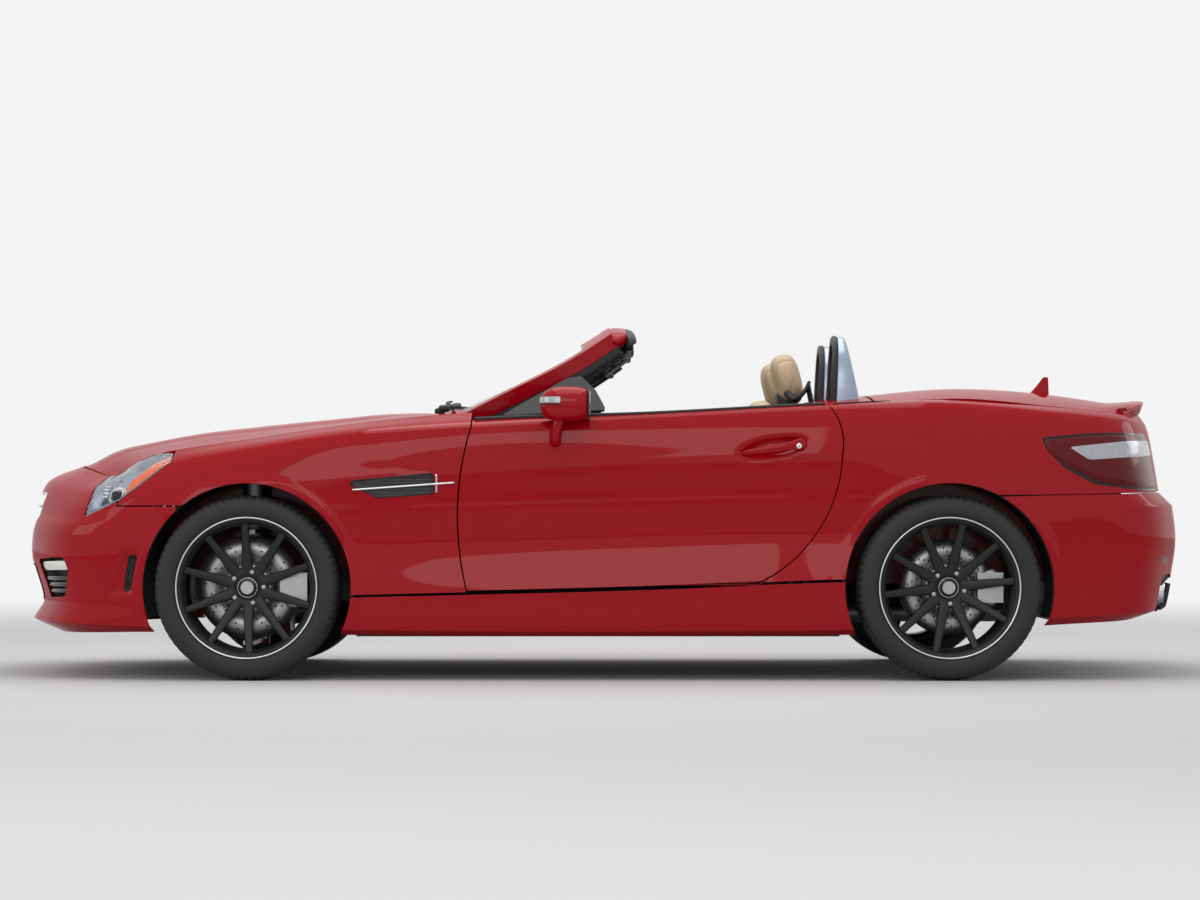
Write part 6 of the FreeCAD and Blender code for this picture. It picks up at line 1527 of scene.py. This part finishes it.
for number, (x, y) in enumerate([(x, y) for x in (0.045, 0.125) for y in (-0.046, 0.046)]):
    lumpPiece(f"console_key_{number}", (x, y, 0.4825), (0.026, 0.018, 0.01), blackPlastic, 6, rows=9, columns=16)

# Doors: a shut face from the skin inwards, an inner panel with a raised armrest, and a rolled top. Metres from the middle.
doorShape = {"inner": 0.756, "shut": 0.758, "wall": 0.745, "rest": 0.052,
    "beige": [(-402, 620), (-402, 840), (-380, 858), (690, 900), (742, 860), (720, 760), (660, 640)], "top": 7.3}
beltPlaces = span(-520, 850, 7, spacing=0.02)
beltLine = bodyAt(beltPlaces, doorShape["top"])


def doorInside(x, z):
    # the inner face bulges into the cabin at the armrest and is hollow at the pocket below it
    rest = np.exp(-(((x - 0.22) / 0.36) ** 6)) * (ramp(z, 0.52, 0.6) * (1 - ramp(z, 0.606, 0.64)))
    pocket = np.exp(-(((x - 0.1) / 0.42) ** 6)) * ramp(z, 0.34, 0.37) * (1 - ramp(z, 0.47, 0.5))
    return doorShape["inner"] - doorShape["rest"] * rest - 0.022 * pocket


for word, side in sides:
    door = "door_" + word
    edge = resample(doorOutline(-4), 320)
    edge = edge[edge[:, 1] > 0]
    crown = np.interp(edge[:, 0], beltLine[:, 0], beltLine[:, 2]) - 0.004
    edge[:, 1] = np.minimum(edge[:, 1], crown)
    edge = resample(edge, 280)
    low = float(bodyAt(placeAt(200, 2), 2.1)[2]) + 0.004
    edge[:, 1] = np.maximum(edge[:, 1], low)
    outer = onSkin(edge * 1000, side, -3)
    middle = edge.mean(0)
    rows = []
    for share, shrink in ((0, 0), (0.25, 0.002), (0.6, 0.004), (0.9, 0.008), (1, 0.016)):
        spot = edge + np.sign(middle - edge) * shrink
        rows.append(join(spot[:, 0], outer[:, 1] + (side * doorShape["shut"] - outer[:, 1]) * share, spot[:, 1]))
    gridPiece("door_jamb_" + word, rows, redPaint, closeColumns=True, flip=side < 0, wall=0.002, body=door)
    # the painted edge of the opening: the sill's top and the post behind the door, from the skin in to the cabin's wall
    opening = resample(doorOutline(gap + 2), 320)
    opening = opening[(opening[:, 0] > -0.3) & (opening[:, 1] < np.interp(opening[:, 0], beltLine[:, 0], beltLine[:, 2]) - 0.006)]
    opening[:, 1] = np.maximum(opening[:, 1], low - 0.01)
    outer = onSkin(opening * 1000, side, -2)
    rows = [join(opening[:, 0], outer[:, 1] + (side * doorShape["wall"] - outer[:, 1]) * share, opening[:, 1])
        for share in np.linspace(0, 1, 5)]
    gridPiece("body_jamb_" + word, rows, redPaint, flip=side > 0, wall=0.002)
    panel = flatPanel("door_trim_" + word, edge + np.sign(middle - edge) * 0.014, doorInside, blackLeather, side, 0.011, 0, 0, body=door)
    panel.data.flip_normals()
    finishEdges(panel, 0.004)
    insert = flatPanel("door_insert_" + word, outline(doorShape["beige"], 0.03), lambda x, z: doorInside(x, z) - 0.0035,
        beigeLeather, side, 0.011, 0, 0, body=door)
    insert.data.flip_normals()
    finishEdges(insert, 0.005, 0.002)
    x = np.linspace(-0.425, 0.775, 60)
    path = join(x, side * 0.788, np.interp(x, beltLine[:, 0], beltLine[:, 2]) - 0.012)
    tube("door_top_" + word, path, (0.062, 0.024, 3, 20), blackLeather, count=70, body=door)
    pull = [(0.02, side * 0.744, 0.7), (0.05, side * 0.712, 0.712), (0.16, side * 0.708, 0.722), (0.24, side * 0.744, 0.722)]
    tube("door_pull_" + word, pull, (0.016, 0.022, 2.6, 16), hoopSilver, count=36, body=door)
    lever = [(-0.16, side * 0.745, 0.762), (-0.13, side * 0.728, 0.766), (-0.06, side * 0.726, 0.768)]
    tube("door_lever_" + word, lever, (0.02, 0.01, 2.6, 14), chrome, (0, side, 0), 20, body=door)
    spunRing = lathe([(-0.004, 0.088), (-0.008, 0.08), (-0.01, 0), (0.002, 0), (0.002, 0.09)], (-0.27, side * 0.752, 0.46), side, 48)
    roundPiece("door_speaker_" + word, spunRing, meshBlack, closed=False, merge=1e-5, body=door)
print("console and doors made")

# Engine cover with ribs and intake pipes on the plain engine; mats, foot rest and pedals in the cabin.
baySizes = {"cover": (-1.17, 0, 0.782), "coverSize": (0.52, 0.42, 0.04), "mats": (-0.36, 0.415)}
at = np.array(baySizes["cover"])
lumpPiece("engine_cover", at, baySizes["coverSize"], blackPlastic, 5, rows=25, columns=64)
for number, y in enumerate(np.linspace(-0.15, 0.15, 6)):
    lumpPiece(f"cover_rib_{number}", at + [0, y, 0.02], (0.4, 0.014, 0.012), castAlloy, 6)
for number, y in enumerate((-0.235, 0.235)):
    tube(f"intake_pipe_{number}", at + np.array([(-0.2, y * 0.5, -0.01), (-0.26, y * 0.9, -0.01), (-0.23, y * 1.25, -0.03),
        (-0.1, y * 1.3, -0.06)]), (0.062, 0.062, 2, 20), rubber, count=40)
for word, side in sides:
    lumpPiece("floor_mat_" + word, (baySizes["mats"][0], side * baySizes["mats"][1], 0.181), (0.56, 0.43, 0.013), carpet, 8)
lumpPiece("foot_rest", (-0.755, -0.565, 0.3), (0.03, 0.12, 0.2), blackPlastic, 6, tilt=-38)
for number, (y, wide) in enumerate(((-0.3, 0.055), (-0.405, 0.09))):
    lumpPiece(f"pedal_pad_{number}", (-0.69, y, 0.3), (0.014, wide, 0.08 if number else 0.13), castAlloy, 5, tilt=-28)
    tube(f"pedal_arm_{number}", [(-0.7, y, 0.32), (-0.735, y, 0.42), (-0.77, y, 0.54)], (0.016, 0.012, 3, 12), blackPlastic,
        (0, 1, 0), 16)

# Carried-over parts of the frame keep their shapes and get their own finishes.
carried = {
    carpet: ("floor_pan",), structurePaint: ("front_structure", "rear_structure"), blackPlastic: ("wheel_arch_liners", "scuttle"),
    engineGrey: ("engine",), castAlloy: ("exhaust", "front_suspension", "rear_suspension", "knuckle_left", "knuckle_right"), }
for material, names in carried.items():
    for name in names:
        for slot in nodes[name].material_slots:
            slot.material = material

# Pale floor, white surroundings seen by the camera, glass and gloss, and soft lamps above and on the camera's side.
studio = {"floor": 0.66, "ambient": 0.62, "backdrop": 0.9, "fade": (3.5, 11), "lamps": [
    ("top", (0, 0, 4.6), (0, 0, 0), (6.5, 3), 120), ("near", (-1.5, -7.5, 2.6), (0, 0, 0.6), (5, 1.6), 45),
    ("nose", (-6.5, -2.5, 2.6), (0, 0, 0.6), (3, 2), 30), ("tail", (6.5, 2.5, 2.8), (0, 0, 0.6), (3, 2), 30)]}
a = circle(128)
r = np.array([0, 2, 5, 12, 40])[:, None]
floorGrid = join(r * np.cos(a), r * np.sin(a), -0.0005)
floorFinish = finish("floorFinish", (studio["floor"],) * 3, 0.85, mottle=0.01, mottleSize=3)
floor = show("floor", meshFrom("floor", floorGrid, gridFaces(5, 128, closeColumns=True), 1e-5))
floor.data.materials.append(floorFinish)
# for the camera the floor fades into the background with distance from the car
tree = floorFinish.node_tree
where, far, fade, path, times, blend, pale = newNodes(tree, "TexCoord", "VectorMath", "MapRange", "LightPath", "Math",
    "MixShader", "Emission")
far.operation = "LENGTH"
times.operation = "MULTIPLY"
fade.interpolation_type = "SMOOTHSTEP"
put(fade, From_Min=studio["fade"][0], From_Max=studio["fade"][1])
put(pale, Strength=studio["backdrop"])
wire(tree, (where, "Object", far, 0), (far, "Value", fade, "Value"), (fade, "Result", times, 0),
    (path, "Is Camera Ray", times, 1),
     (times, "Value", blend, 0), (tree.nodes["Principled BSDF"], 0, blend, 1), (pale, 0, blend, 2),
     (blend, 0, tree.nodes["Material Output"], "Surface"))
world = bpy.data.worlds.new("studio")
bpy.context.scene.world = world
world.use_nodes = True
tree = world.node_tree
light = tree.nodes["Background"]
path, seen, both, mix, pale = newNodes(tree, "LightPath", "Math", "Math", "MixShader", "Background")
seen.operation = both.operation = "MAXIMUM"
put(light, Color=(1, 1, 1, 1), Strength=studio["ambient"])
put(pale, Color=(1, 1, 1, 1), Strength=studio["backdrop"])
wire(tree, (path, "Is Camera Ray", seen, 0), (path, "Is Glossy Ray", seen, 1), (seen, 0, both, 0),
    (path, "Is Transmission Ray", both, 1),
     (both, 0, mix, 0), (light, 0, mix, 1), (pale, 0, mix, 2), (mix, 0, tree.nodes["World Output"], "Surface"))
for name, at, aim, size, power in studio["lamps"]:
    lamp = bpy.data.lights.new("lamp_" + name, "AREA")
    lamp.shape = "RECTANGLE"
    lamp.size, lamp.size_y = size
    lamp.energy = power
    holder = show("lamp_" + name, lamp)
    holder.location = at
    way = np.array(aim, float) - at
    holder.rotation_euler = (math.atan2(math.hypot(way[0], way[1]), -way[2]), 0, math.atan2(way[1], way[0]) - math.pi / 2)
bpy.context.scene.view_settings.view_transform = "Standard"

# Camera: level with the sills, on the car's left, square to its side.
cameraPlace = {"at": (-0.003, -13.05, 0.596), "lens": 105.66, "tilt": 90.944}
camera = bpy.data.objects.new("camera", bpy.data.cameras.new("camera"))
bpy.context.scene.collection.objects.link(camera)
camera.location = cameraPlace["at"]
camera.rotation_euler = (math.radians(cameraPlace["tilt"]), 0, 0)
camera.data.lens = cameraPlace["lens"]
bpy.context.scene.camera = camera
